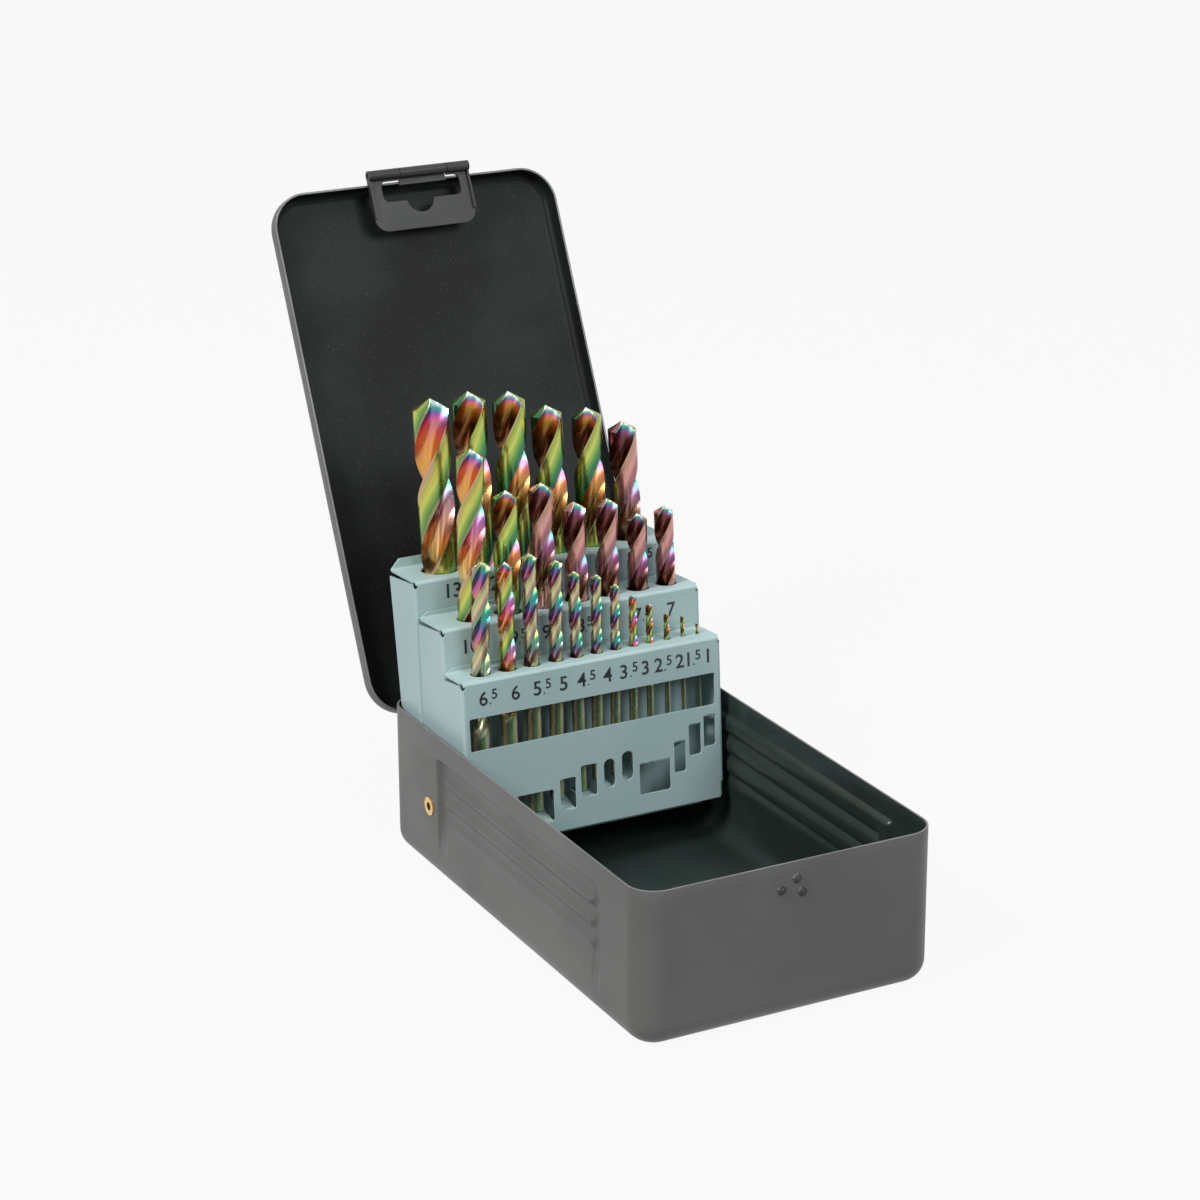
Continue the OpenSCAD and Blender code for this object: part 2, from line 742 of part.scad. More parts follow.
// Tongue bent inwards at height z, sloping by s per mm, with a root of sheet above it.
module tongue(u, left, right, z, s, reach, root) {
    translate([left, u, z]) rotate([90, 0, 90])
        linear_extrude(right - left) {
            polygon([
                [0, 0], [reach, reach * s],
                [reach, reach * s - rack_sheet], [0, -rack_sheet]
            ]);
            if (root > 0) translate([0, -rack_sheet]) square([rack_sheet / 2, rack_sheet + root]);
        }
}

function low_edge(i) = low_tongue_edge[i] - tongue_sink;
function high_edge(i) = high_tongue_edge[i] + tongue_sink;

function foot_lift(d, tilt) = d / 2 * sin(abs(tilt));
function small_seat(i) = small_top + small_shown[i] - small_lengths[i] * cos(small_tilts[i])
    - foot_lift(small_sizes[i], small_tilts[i]);
function small_foot(i) = small_x[i] - (small_top - small_seat(i)) * tan(small_tilts[i]);
function split(i) = (small_foot(i) + small_foot(i + 1)) / 2;
function up_slope(i, edge) =
    (small_seat(i) - drill_rest - edge) / (small_back + small_sizes[i] / 2);
function down_slope(i, edge) =
    (small_seat(i) - drill_rest - edge) / (small_back - small_sizes[i] / 2);

module rack_small() {
    color([0.57, 0.66, 0.67])
        raised() {
            difference() {
                rack_sheet_body(small_half, small_front, small_top, small_bottom, small_side,
                    medium_front - small_front - flange_gap, lip_height, 0);
                drill_holes(small_row, small_top, small_sizes, small_x);
                window_cut(small_front, window_left, window_right, window_low, window_high, window_corner);
                for (i = [0 : 2])
                    window_cut(small_front, low_tongue_left[i], low_tongue_right[i],
                        low_tongue_edge[i], low_tongue_edge[i] + stop_window, window_corner);
                for (i = [3, 4])
                    window_cut(small_front, low_tongue_left[i], low_tongue_right[i],
                        low_tongue_edge[i], low_tongue_edge[i] + stop_window - 1, 2.2);
                for (i = [0 : 3])
                    window_cut(small_front, high_tongue_left[i], high_tongue_right[i],
                        high_tongue_edge[i] - stop_window, high_tongue_edge[i], window_corner);
                for (s = [-1, 1])
                    translate([s > 0 ? small_half - foot_notch : -small_half - 1,
                        small_front - 1, small_bottom - 1])
                        cube([foot_notch + 1, 1 + rack_bend + 0.6, foot_notch_height + 1]);
            }
            // stop for the largest drill of the row, cranked just below the sheet
            translate([small_foot(0) - 3.6, small_front, small_seat(0) - drill_rest - rack_sheet])
                cube([7.2, rack_sheet, 2]);
            translate([small_foot(0) - 3.6, small_front, small_seat(0) - drill_rest - rack_sheet])
                cube([7.2, 11, rack_sheet]);
            tongue(small_front + rack_sheet / 2, low_tongue_left[0] * spread + tongue_gap, split(1) - tongue_gap / 2,
                low_edge(0), up_slope(1, low_edge(0)), 11, 0);
            tongue(small_front + rack_sheet / 2, split(1) + tongue_gap / 2, low_tongue_right[0] * spread - tongue_gap,
                low_edge(0), up_slope(2, low_edge(0)), 10.6, 0);
            for (i = [1 : 4])
                tongue(small_front + rack_sheet / 2, low_tongue_left[i] * spread + tongue_gap,
                    low_tongue_right[i] * spread - tongue_gap, low_edge(i), up_slope(i + 2, low_edge(i)), 10.2, 0);
            tongue(small_front + rack_sheet / 2, high_tongue_left[0] * spread + tongue_gap, split(7) - tongue_gap / 2,
                high_edge(0), down_slope(7, high_edge(0)), 9.6, 0.8);
            tongue(small_front + rack_sheet / 2, split(7) + tongue_gap / 2, high_tongue_right[0] * spread - tongue_gap,
                high_edge(0), down_slope(8, high_edge(0)), 9.4, 0.8);
            for (i = [1 : 3])
                tongue(small_front + rack_sheet / 2, high_tongue_left[i] * spread + tongue_gap,
                    high_tongue_right[i] * spread - tongue_gap, high_edge(i), down_slope(i + 8, high_edge(i)), 9, 0.8);
        }
}

module rack_medium() {
    color([0.6, 0.68, 0.69])
        raised() {
            difference() {
                rack_sheet_body(medium_half, medium_front, medium_top, medium_bottom, medium_side,
                    large_front - medium_front - flange_gap, lip_height, 0);
                drill_holes(medium_row, medium_top, medium_sizes, medium_x);
                window_cut(medium_front, high_stop_left, high_stop_right,
                    ten_stop - drill_rest + tongue_sink, ten_stop + stop_window, window_corner);
                for (s = [-1, 1])
                    translate([s > 0 ? medium_half - foot_notch : -medium_half - 1,
                        medium_front - 1, medium_bottom - 1])
                        cube([foot_notch + 1, 1 + rack_bend + 0.6, foot_notch_height + 1]);
                translate([-medium_half - 1, 0, 0]) rotate([0, 90, 0])
                    cylinder(r = eyelet_radius + eyelet_gap, h = 2 * medium_half + 2);
            }
            translate([-medium_half + 3, medium_front, medium_bottom])
                cube([2 * medium_half - 6, medium_floor, rack_sheet]);
            tongue(medium_front + rack_sheet / 2, high_stop_left * spread + tongue_gap,
                high_stop_right * spread - tongue_gap,
                ten_stop - drill_rest, 0, 13.5, 0);
        }
}

module rack_large() {
    color([0.6, 0.68, 0.69])
        raised() {
            difference() {
                rack_sheet_body(rack_half_width, large_front, large_top, large_bottom, large_side,
                    large_side - rack_sheet / 3, large_lip, large_taper);
                drill_holes(large_row, large_top, large_sizes, large_x);
            }
            translate([-rack_half_width + 3, large_front, large_bottom])
                cube([2 * rack_half_width - 6, large_floor, rack_sheet]);
        }
}

// ---------- drills ----------

// Half of a drill's cross-section as angle and share of its radius.
land = [[0, 1], [26, 0.97], [52, 0.95], [66, 0.8], [84, 0.5], [106, 0.35], [132, 0.36], [158, 0.72]];
half_count = len(land);
ring_count = 2 * half_count;
slices = 18;

function land_angle(k) = land[k % half_count][0] + (k >= half_count ? 180 : 0);
function land_share(k, t) = 1 - t * (1 - land[k % half_count][1]);

// Rings up the drill: height, flute depth share, limit of the point's cone.
function drill_rings(r, from, to) =
    let (cone = r / tan(point_half), body = to - cone)
    concat(
        [[0, 0, r], [from, 0, r]],
        [for (i = [1 : slices]) [
            from + r + (body - from - r) * (i - 1) / (slices - 1), i == 1 ? 0.7 : 1, r
        ]],
        [for (f = [0.35, 0.7, 0.97]) [body + cone * f, 1, r * (1 - f)]]
    );

module fluted(r, from, to, tip_turn) {
    rings = drill_rings(r, from, to);
    n = ring_count;
    last = len(rings) - 1;
    turn = 180 * tan(helix) / (PI * r);
    points = [for (g = rings) for (k = [0 : n - 1])
        let (rad = min(r * land_share(k, g[1]), g[2]), a = land_angle(k) + tip_turn + (g[0] < from ? from - to : g[0] - to) * turn)
        [rad * cos(a), rad * sin(a), g[0]]];
    walls = [for (j = [0 : last - 1]) for (k = [0 : n - 1]) for (h = [0, 1])
        h == 0
            ? [j * n + k, (j + 1) * n + k, (j + 1) * n + (k + 1) % n]
            : [j * n + k, (j + 1) * n + (k + 1) % n, j * n + (k + 1) % n]];
    polyhedron(points, concat(walls,
        [[for (k = [0 : n - 1]) k]],
        [[for (k = [0 : n - 1]) last * n + n - 1 - k]]));
}

// Drill standing on its foot in a hole: size, lengths, turn and tilt, hole and height of its stop.
module drill(d, length, flute, tip_turn, tilt, x, u, top, seat) {
    foot = seat + foot_lift(d, tilt);
    color([0.72, 0.5, 0.42])
        raised() translate([x - (top - foot) * tan(tilt), u, foot]) rotate([0, tilt, 0])
            fluted(d / 2, length - flute, length, tip_turn);
}

module small_drill(i) {
    drill(small_sizes[i], small_lengths[i], small_flutes[i], small_turns[i], small_tilts[i],
        small_x[i], small_row, small_top, small_seat(i));
}

module medium_drill(i) {
    drill(medium_sizes[i], medium_lengths[i], medium_flutes[i], medium_turns[i], medium_tilts[i],
        medium_x[i], medium_row, medium_top, i == 0 ? ten_stop : medium_seat);
}

module large_drill(i) {
    drill(large_sizes[i], large_lengths[i], large_flutes[i], large_turns[i], large_tilts[i],
        large_x[i], large_row, large_top, large_seat);
}

module drill_01_0() { small_drill(11); }
module drill_01_5() { small_drill(10); }
module drill_02_0() { small_drill(9); }
module drill_02_5() { small_drill(8); }
module drill_03_0() { small_drill(7); }
module drill_03_5() { small_drill(6); }
module drill_04_0() { small_drill(5); }
module drill_04_5() { small_drill(4); }
module drill_05_0() { small_drill(3); }
module drill_05_5() { small_drill(2); }
module drill_06_0() { small_drill(1); }
module drill_06_5() { small_drill(0); }
module drill_07_0() { medium_drill(6); }
module drill_07_5() { medium_drill(5); }
module drill_08_0() { medium_drill(4); }
module drill_08_5() { medium_drill(3); }
module drill_09_0() { medium_drill(2); }
module drill_09_5() { medium_drill(1); }
module drill_10_0() { medium_drill(0); }
module drill_10_5() { large_drill(5); }
module drill_11_0() { large_drill(4); }
module drill_11_5() { large_drill(3); }
module drill_12_0() { large_drill(2); }
module drill_12_5() { large_drill(1); }
module drill_13_0() { large_drill(0); }

base_pan();
base_hinge_leaf();
hinge_wire();
eyelet_left();
eyelet_right();
spacer_left();
spacer_right();
lid_shell();
lid_hinge_leaf();
clasp_bracket();
clasp_wire();
clasp();
rack_small();
rack_medium();
rack_large();
drill_01_0();
drill_01_5();
drill_02_0();
drill_02_5();
drill_03_0();
drill_03_5();
drill_04_0();
drill_04_5();
drill_05_0();
drill_05_5();
drill_06_0();
drill_06_5();
drill_07_0();
drill_07_5();
drill_08_0();
drill_08_5();
drill_09_0();
drill_09_5();
drill_10_0();
drill_10_5();
drill_11_0();
drill_11_5();
drill_12_0();
drill_12_5();
drill_13_0();
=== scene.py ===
# %% [markdown]
# # A steel drill case, open, with its rack raised
# This notebook dresses a finished CAD model of a drill case. The CAD gives every part its place,
# so a new piece is drawn where the CAD part is, in metres, and then rides on the same body.
# What the CAD shows well, such as the bent rack sheets, keeps its mesh and gets a paint.

# %% Load the frame
import math

import bmesh
import bpy
import numpy as np
from mathutils import Matrix, Vector


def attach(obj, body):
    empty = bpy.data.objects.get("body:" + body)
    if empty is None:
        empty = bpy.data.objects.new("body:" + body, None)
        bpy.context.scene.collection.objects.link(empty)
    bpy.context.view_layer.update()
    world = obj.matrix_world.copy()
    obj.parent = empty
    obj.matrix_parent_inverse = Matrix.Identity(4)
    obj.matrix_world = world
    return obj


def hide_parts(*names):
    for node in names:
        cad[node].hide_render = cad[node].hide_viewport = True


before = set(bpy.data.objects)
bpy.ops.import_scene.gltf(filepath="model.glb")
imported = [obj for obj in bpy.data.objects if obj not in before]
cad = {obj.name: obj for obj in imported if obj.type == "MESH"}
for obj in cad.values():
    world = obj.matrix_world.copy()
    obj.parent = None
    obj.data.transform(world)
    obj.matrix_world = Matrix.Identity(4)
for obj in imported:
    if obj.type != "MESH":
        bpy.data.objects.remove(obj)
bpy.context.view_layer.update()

MM = 0.001
bpy.ops.object.select_all(action="DESELECT")
print("frame:", len(cad), "CAD parts")

# %% [markdown]
# ## The camera
# The camera was fitted to the straight edges of the pan in the photograph. It stands to the left of
# the case, about twenty degrees above the bench, with a long lens, so the edges hardly converge.

# %% Camera
AZIMUTH, ELEVATION, ROLL = math.radians(-27.65), math.radians(19.71), math.radians(-0.26)
TARGET = Vector((31.03, 95.71, 77.41)) * MM
DISTANCE = 1208.4 * MM
SENSOR, LENS = 36, 99.32
back = Vector((math.sin(AZIMUTH) * math.cos(ELEVATION),
               -math.cos(AZIMUTH) * math.cos(ELEVATION), math.sin(ELEVATION)))
right = (-back).cross(Vector((0, 0, 1))).normalized()
up = right.cross(-back)
tilted_right = right * math.cos(ROLL) + up * math.sin(ROLL)
tilted_up = up * math.cos(ROLL) - right * math.sin(ROLL)
bpy.ops.object.camera_add()
camera = bpy.context.object
camera.data.sensor_width = SENSOR
camera.data.lens = LENS
camera.data.clip_start, camera.data.clip_end = 0.05, 30
camera.matrix_world = Matrix((tilted_right, tilted_up, back)).transposed().to_4x4()
camera.location = TARGET + back * DISTANCE
bpy.context.scene.camera = camera
print("camera: lens", LENS, "mm, from", [round(v, 3) for v in camera.location])

# %% [markdown]
# ## A bench and soft light
# A pale floor that still takes the object's shadow, and a few large soft lamps. The left side of
# the case is the brighter one, so the key lamp stands there.

# %% Helpers: nodes
def new_material(name):
    material = bpy.data.materials.new(name)
    material.use_nodes = True
    material.node_tree.nodes.clear()
    return material, material.node_tree


def add(tree, kind, x=0, y=0, **settings):
    made = tree.nodes.new(kind)
    made.location = (x, y)
    for key, value in settings.items():
        setattr(made, key, value)
    return made


def background_ray(tree):
    """1 for rays that should see the plain white background."""
    path = add(tree, "ShaderNodeLightPath", -900, 0)
    glossy = add(tree, "ShaderNodeMath", -700, 0, operation="MAXIMUM")
    clear = add(tree, "ShaderNodeMath", -500, 0, operation="MAXIMUM")
    tree.links.new(path.outputs["Is Camera Ray"], glossy.inputs[0])
    tree.links.new(path.outputs["Is Glossy Ray"], glossy.inputs[1])
    tree.links.new(glossy.outputs[0], clear.inputs[0])
    tree.links.new(path.outputs["Is Transmission Ray"], clear.inputs[1])
    return clear.outputs[0]


# %% Floor
FLOOR_GREY, FLOOR_GLOW = (0.3, 0.3, 0.3, 1), 0.93
FLOOR_SIZE, FLOOR_GAP = 12, 0.0004

bench_white, tree = new_material("bench_white")
out = add(tree, "ShaderNodeOutputMaterial", 400)
blend = add(tree, "ShaderNodeMixShader", 200)
chalk = add(tree, "ShaderNodeBsdfDiffuse", 0, 100)
chalk.inputs["Color"].default_value = FLOOR_GREY
glow = add(tree, "ShaderNodeEmission", 0, -100)
glow.inputs["Color"].default_value = (1, 1, 1, 1)
share = add(tree, "ShaderNodeMath", -200, 0, operation="MULTIPLY")
share.inputs[1].default_value = FLOOR_GLOW
tree.links.new(background_ray(tree), share.inputs[0])
tree.links.new(share.outputs[0], blend.inputs[0])
tree.links.new(chalk.outputs[0], blend.inputs[1])
tree.links.new(glow.outputs[0], blend.inputs[2])
tree.links.new(blend.outputs[0], out.inputs[0])

bpy.ops.mesh.primitive_plane_add(size=FLOOR_SIZE, location=(0, 0, -FLOOR_GAP))
bench = bpy.context.object
bench.name = "bench"
bench.data.materials.append(bench_white)
print("floor:", FLOOR_SIZE, "m square")

# %% World
AIR, AIR_STRENGTH = (0.93, 0.97, 1, 1), 0.24

world = bpy.data.worlds.new("studio")
bpy.context.scene.world = world
world.use_nodes = True
tree = world.node_tree
tree.nodes.clear()
out = add(tree, "ShaderNodeOutputWorld", 400)
blend = add(tree, "ShaderNodeMixShader", 200)
dim = add(tree, "ShaderNodeBackground", 0, 100)
dim.inputs["Color"].default_value = AIR
dim.inputs["Strength"].default_value = AIR_STRENGTH
white = add(tree, "ShaderNodeBackground", 0, -100)
white.inputs["Strength"].default_value = 1
tree.links.new(background_ray(tree), blend.inputs[0])
tree.links.new(dim.outputs[0], blend.inputs[1])
tree.links.new(white.outputs[0], blend.inputs[2])
tree.links.new(blend.outputs[0], out.inputs[0])
bpy.context.scene.view_settings.view_transform = "Standard"
print("world light:", AIR_STRENGTH)

# %% Lamps
def soft_lamp(name, place, aim, size, watts, colour=(1, 1, 1)):
    """A square area lamp at a place in metres, turned to a point."""
    bpy.ops.object.light_add(type="AREA", location=place)
    lamp = bpy.context.object
    lamp.name = name
    lamp.data.size = size
    lamp.data.energy = watts
    lamp.data.color = colour
    lamp.rotation_euler = (Vector(aim) - Vector(place)).to_track_quat("-Z", "Y").to_euler()
    print("lamp", name, watts, "W")


WARM, COOL = (1, 0.965, 0.945), (0.96, 1, 1)
soft_lamp("key_left", (-1.3, -0.3, 1.25), (0, 0, 0.08), 0.55, 28.5, WARM)
soft_lamp("top", (0.1, 0.1, 1.6), (0, 0, 0.05), 1.0, 6)
soft_lamp("front", (0.35, -1.3, 1.1), (0, 0.03, 0.07), 0.8, 12, COOL)

# %% [markdown]
# ## Shared surface effects
# Stoved paint is never quite even: it has a fine orange-peel relief and cloudy changes of gloss.
# Both come from noise on Object coordinates, packed in one node group that every paint uses with
# its own values.

# %% Helpers: groups, noise and arithmetic
def new_group(name, inputs, outputs):
    """A shader group with float or colour sockets, its two end nodes returned with it."""
    group = bpy.data.node_groups.new(name, "ShaderNodeTree")
    for label, kind, value in inputs:
        made = group.interface.new_socket(label, in_out="INPUT", socket_type=kind)
        made.default_value = value
    for label, kind in outputs:
        group.interface.new_socket(label, in_out="OUTPUT", socket_type=kind)
    first = group.nodes.new("NodeGroupInput")
    last = group.nodes.new("NodeGroupOutput")
    first.location, last.location = (-900, 0), (700, 0)
    return group, first, last


FLOAT, COLOUR = "NodeSocketFloat", "NodeSocketColor"


def noise(tree, scale, detail, x, y, squeeze=None):
    """Noise on Object coordinates, in features per metre, and its value output."""
    place = add(tree, "ShaderNodeTexCoord", x - 400, y)
    source = place.outputs["Object"]
    if squeeze:
        mapping = add(tree, "ShaderNodeMapping", x - 200, y)
        mapping.inputs["Scale"].default_value = squeeze
        tree.links.new(source, mapping.inputs["Vector"])
        source = mapping.outputs[0]
    made = add(tree, "ShaderNodeTexNoise", x, y)
    made.inputs["Scale"].default_value = scale
    made.inputs["Detail"].default_value = detail
    tree.links.new(source, made.inputs["Vector"])
    return made.outputs["Fac"]


def math_node(tree, operation, a, b=None, c=None, x=0, y=0, clamp=False):
    made = add(tree, "ShaderNodeMath", x, y, operation=operation, use_clamp=clamp)
    for slot, value in zip(made.inputs, (a, b, c)):
        if value is None:
            continue
        if isinstance(value, (int, float)):
            slot.default_value = value
        else:
            tree.links.new(value, slot)
    return made.outputs[0]


def band(tree, value, low, high, x=0, y=0):
    """0 below low, 1 above high, smooth between."""
    made = add(tree, "ShaderNodeMapRange", x, y, interpolation_type="SMOOTHSTEP")
    made.inputs["From Min"].default_value = low
    made.inputs["From Max"].default_value = high
    tree.links.new(value, made.inputs["Value"])
    return made.outputs["Result"]


def mix(tree, factor, a, b, x=0, y=0, kind="MIX"):
    made = add(tree, "ShaderNodeMix", x, y, data_type="RGBA", blend_type=kind)
    for slot, value in ((made.inputs[0], factor), (made.inputs[6], a), (made.inputs[7], b)):
        if isinstance(value, (int, float)):
            slot.default_value = value
        elif isinstance(value, tuple):
            slot.default_value = (*value, 1)
        else:
            tree.links.new(value, slot)
    return made.outputs[2]


# %% Node group: stoved paint
FLECK = (0.55, 0.56, 0.55)  # bare metal showing through a speck of wear

stoved, first, last = new_group(
    "stoved_paint",
    [("Colour", COLOUR, (0.2, 0.2, 0.2, 1)), ("Shade", COLOUR, (0.15, 0.15, 0.15, 1)),
     ("Roughness", FLOAT, 0.4), ("Gloss change", FLOAT, 0.1), ("Wear", FLOAT, 0.2)],
    [("Colour", COLOUR), ("Roughness", FLOAT), ("Height", FLOAT)])
cloud = noise(stoved, 26, 3, -500, 300)
fine = noise(stoved, 900, 2, -500, 0)
dust = noise(stoved, 2600, 1, -500, -300)
fleck = band(stoved, dust, 0.7, 0.8, -300, -300)
worn = math_node(stoved, "MULTIPLY", fleck, first.outputs["Wear"], x=-100, y=-300)
tone = mix(stoved, band(stoved, cloud, 0.35, 0.7, -300, 300), first.outputs["Colour"],
           first.outputs["Shade"], -100, 300)
tone = mix(stoved, worn, tone, FLECK, 200, 200)
change = math_node(stoved, "SUBTRACT", cloud, 0.5, x=-300, y=100)
change = math_node(stoved, "MULTIPLY", change, first.outputs["Gloss change"], x=-100, y=100)
gloss = math_node(stoved, "ADD", first.outputs["Roughness"], change, x=100, y=0)
stoved.links.new(tone, last.inputs["Colour"])
stoved.links.new(gloss, last.inputs["Roughness"])
stoved.links.new(fine, last.inputs["Height"])
print("group:", stoved.name, len(stoved.nodes), "nodes")


# %% Helper: one paint
def painted(name, colour, shade, roughness, change, wear, relief, shine):
    """A stoved paint with its own colour, gloss, specks of wear, relief and shine."""
    material, tree = new_material(name)
    out = add(tree, "ShaderNodeOutputMaterial", 600)
    shader = add(tree, "ShaderNodeBsdfPrincipled", 300)
    body = add(tree, "ShaderNodeGroup", -200, 0, node_tree=stoved)
    body.inputs["Colour"].default_value = (*colour, 1)
    body.inputs["Shade"].default_value = (*shade, 1)
    body.inputs["Roughness"].default_value = roughness
    body.inputs["Gloss change"].default_value = change
    body.inputs["Wear"].default_value = wear
    bump = add(tree, "ShaderNodeBump", 50, -300)
    bump.inputs["Strength"].default_value = relief
    bump.inputs["Distance"].default_value = 0.0003
    shader.inputs["Specular IOR Level"].default_value = shine
    tree.links.new(body.outputs["Colour"], shader.inputs["Base Color"])
    tree.links.new(body.outputs["Roughness"], shader.inputs["Roughness"])
    tree.links.new(body.outputs["Height"], bump.inputs["Height"])
    tree.links.new(bump.outputs[0], shader.inputs["Normal"])
    tree.links.new(shader.outputs[0], out.inputs[0])
    return material


# %% [markdown]
# ## The paints
# The pan is satin grey outside and nearly black inside, with a green tinge. The lid's inside is
# blacker and duller, the rack has a pale blue-grey powder coat, and the clasp is darker than the
# pan. Each paint has two colours that the clouds mix.

# %% Paint colours
case_grey = painted("case_grey", (0.1, 0.101, 0.098), (0.086, 0.087, 0.085),
                    roughness=0.42, change=0.2, wear=0.06, relief=0.12, shine=0.46)
inside_black = painted("inside_black", (0.022, 0.034, 0.031), (0.014, 0.021, 0.02),
                       roughness=0.3, change=0.25, wear=0.05, relief=0.1, shine=0.4)
lid_black = painted("lid_black", (0.012, 0.0145, 0.0145), (0.007, 0.008, 0.0075),
                    roughness=0.36, change=0.2, wear=0.2, relief=0.1, shine=0.1)
rim_grey = painted("rim_grey", (0.19, 0.2, 0.19), (0.12, 0.13, 0.12),
                   roughness=0.4, change=0.2, wear=0.3, relief=0.1, shine=0.5)
clasp_grey = painted("clasp_grey", (0.03, 0.031, 0.03), (0.021, 0.022, 0.022),
                     roughness=0.36, change=0.2, wear=0.1, relief=0.15, shine=0.3)
rack_blue = painted("rack_blue", (0.375, 0.505, 0.515), (0.34, 0.47, 0.48),
                    roughness=0.42, change=0.12, wear=0.03, relief=0.25, shine=0.3)
print("paints: pan, inside, lid, rim, clasp and rack")

# %% [markdown]
# ## Bare metals
# The eyelets are rolled brass and the wires are drawn steel. Both get fine marks in one direction,
# made by squeezing the noise, which change the gloss more than the colour.

# %% Brass and wire
def bare_metal(name, colour, dark, roughness, squeeze):
    material, tree = new_material(name)
    out = add(tree, "ShaderNodeOutputMaterial", 600)
    shader = add(tree, "ShaderNodeBsdfPrincipled", 300)
    shader.inputs["Metallic"].default_value = 1
    lines = noise(tree, 300, 4, -500, 200, squeeze)
    stain = noise(tree, 180, 3, -500, -200)
    tone = mix(tree, band(tree, stain, 0.45, 0.75, -250, -200), colour, dark, 0, 100)
    gloss = math_node(tree, "MULTIPLY_ADD", lines, 0.18, roughness - 0.08, x=0, y=-100)
    bump = add(tree, "ShaderNodeBump", 50, -300)
    bump.inputs["Strength"].default_value = 0.08
    bump.inputs["Distance"].default_value = 0.0001
    tree.links.new(tone, shader.inputs["Base Color"])
    tree.links.new(gloss, shader.inputs["Roughness"])
    tree.links.new(lines, bump.inputs["Height"])
    tree.links.new(bump.outputs[0], shader.inputs["Normal"])
    tree.links.new(shader.outputs[0], out.inputs[0])
    return material


rolled_brass = bare_metal("rolled_brass", (0.83, 0.56, 0.2), (0.6, 0.36, 0.12), 0.28, (1, 3, 3))
drawn_steel = bare_metal("drawn_steel", (0.5, 0.5, 0.48), (0.3, 0.3, 0.29), 0.34, (0.15, 4, 4))
print("metals:", rolled_brass.name, drawn_steel.name)

# %% [markdown]
# ## Paint the CAD parts that stay
# Bent sheet, rolled knuckles, wires and eyelets are already right in the CAD, so only their
# material slots change.

# %% Dress the CAD parts
PAINT_OF = {
    "base_hinge_leaf": case_grey, "lid_hinge_leaf": case_grey, "clasp_bracket": clasp_grey,
    "clasp": clasp_grey, "hinge_wire": drawn_steel, "clasp_wire": drawn_steel,
    "eyelet_left": rolled_brass, "eyelet_right": rolled_brass,
    "spacer_left": drawn_steel, "spacer_right": drawn_steel,
    "rack_small": rack_blue, "rack_medium": rack_blue, "rack_large": rack_blue,
}
for name, paint in PAINT_OF.items():
    cad[name].data.materials.clear()
    cad[name].data.materials.append(paint)
print("CAD parts dressed:", len(PAINT_OF))

# %% [markdown]
# ## Modelling helpers
# Each new piece starts as a primitive of the right size. These helpers enter edit mode, select
# edges or faces by where they are, and leave again.

# %% Edit-mode helpers
def edit(obj):
    bpy.ops.object.select_all(action="DESELECT")
    bpy.context.view_layer.objects.active = obj
    obj.select_set(True)
    bpy.ops.object.mode_set(mode="EDIT")
    bpy.ops.mesh.select_all(action="DESELECT")
    return bmesh.from_edit_mesh(obj.data)


def leave():
    bpy.ops.object.mode_set(mode="OBJECT")
    bpy.ops.object.select_all(action="DESELECT")


def pick_edges(obj, test):
    """Selects the edges whose two ends pass the test, in edge mode."""
    mesh = bmesh.from_edit_mesh(obj.data)
    bpy.ops.mesh.select_mode(type="EDGE")
    bpy.ops.mesh.select_all(action="DESELECT")
    for edge in mesh.edges:
        if test(edge.verts[0].co, edge.verts[1].co):
            edge.select_set(True)
    bmesh.update_edit_mesh(obj.data)


def bisect_at(axis, values):
    """Cuts the whole mesh in edit mode by planes across one axis."""
    normal = [0, 0, 0]
    normal[axis] = 1
    for value in values:
        spot = [0, 0, 0]
        spot[axis] = value * MM
        bpy.ops.mesh.select_all(action="SELECT")
        bpy.ops.mesh.bisect(plane_co=spot, plane_no=normal)


def apply_modifier(obj, kind, name, **settings):
    made = obj.modifiers.new(name, kind)
    for key, value in settings.items():
        setattr(made, key, value)
    bpy.context.view_layer.objects.active = obj
    bpy.ops.object.modifier_apply(modifier=made.name)


def smooth(obj, degrees):
    bpy.ops.object.select_all(action="DESELECT")
    bpy.context.view_layer.objects.active = obj
    obj.select_set(True)
    bpy.ops.object.shade_smooth_by_angle(angle=math.radians(degrees))
    obj.select_set(False)


# %% [markdown]
# ## Drawn pans
# Pan and lid are both deep-drawn: one sheet, no seams, round corners and a round edge to the
# bottom. A box with its open side deleted, its upright edges bevelled and then its bottom edge
# bevelled gives that shape. The sheet's thickness comes last, from Solidify, which also gives the
# inside and the cut rim their own materials.

# %% Helper: drawn pan
TINY = 1e-6
SHEET, RIM_ROUND = 0.8, 0.2


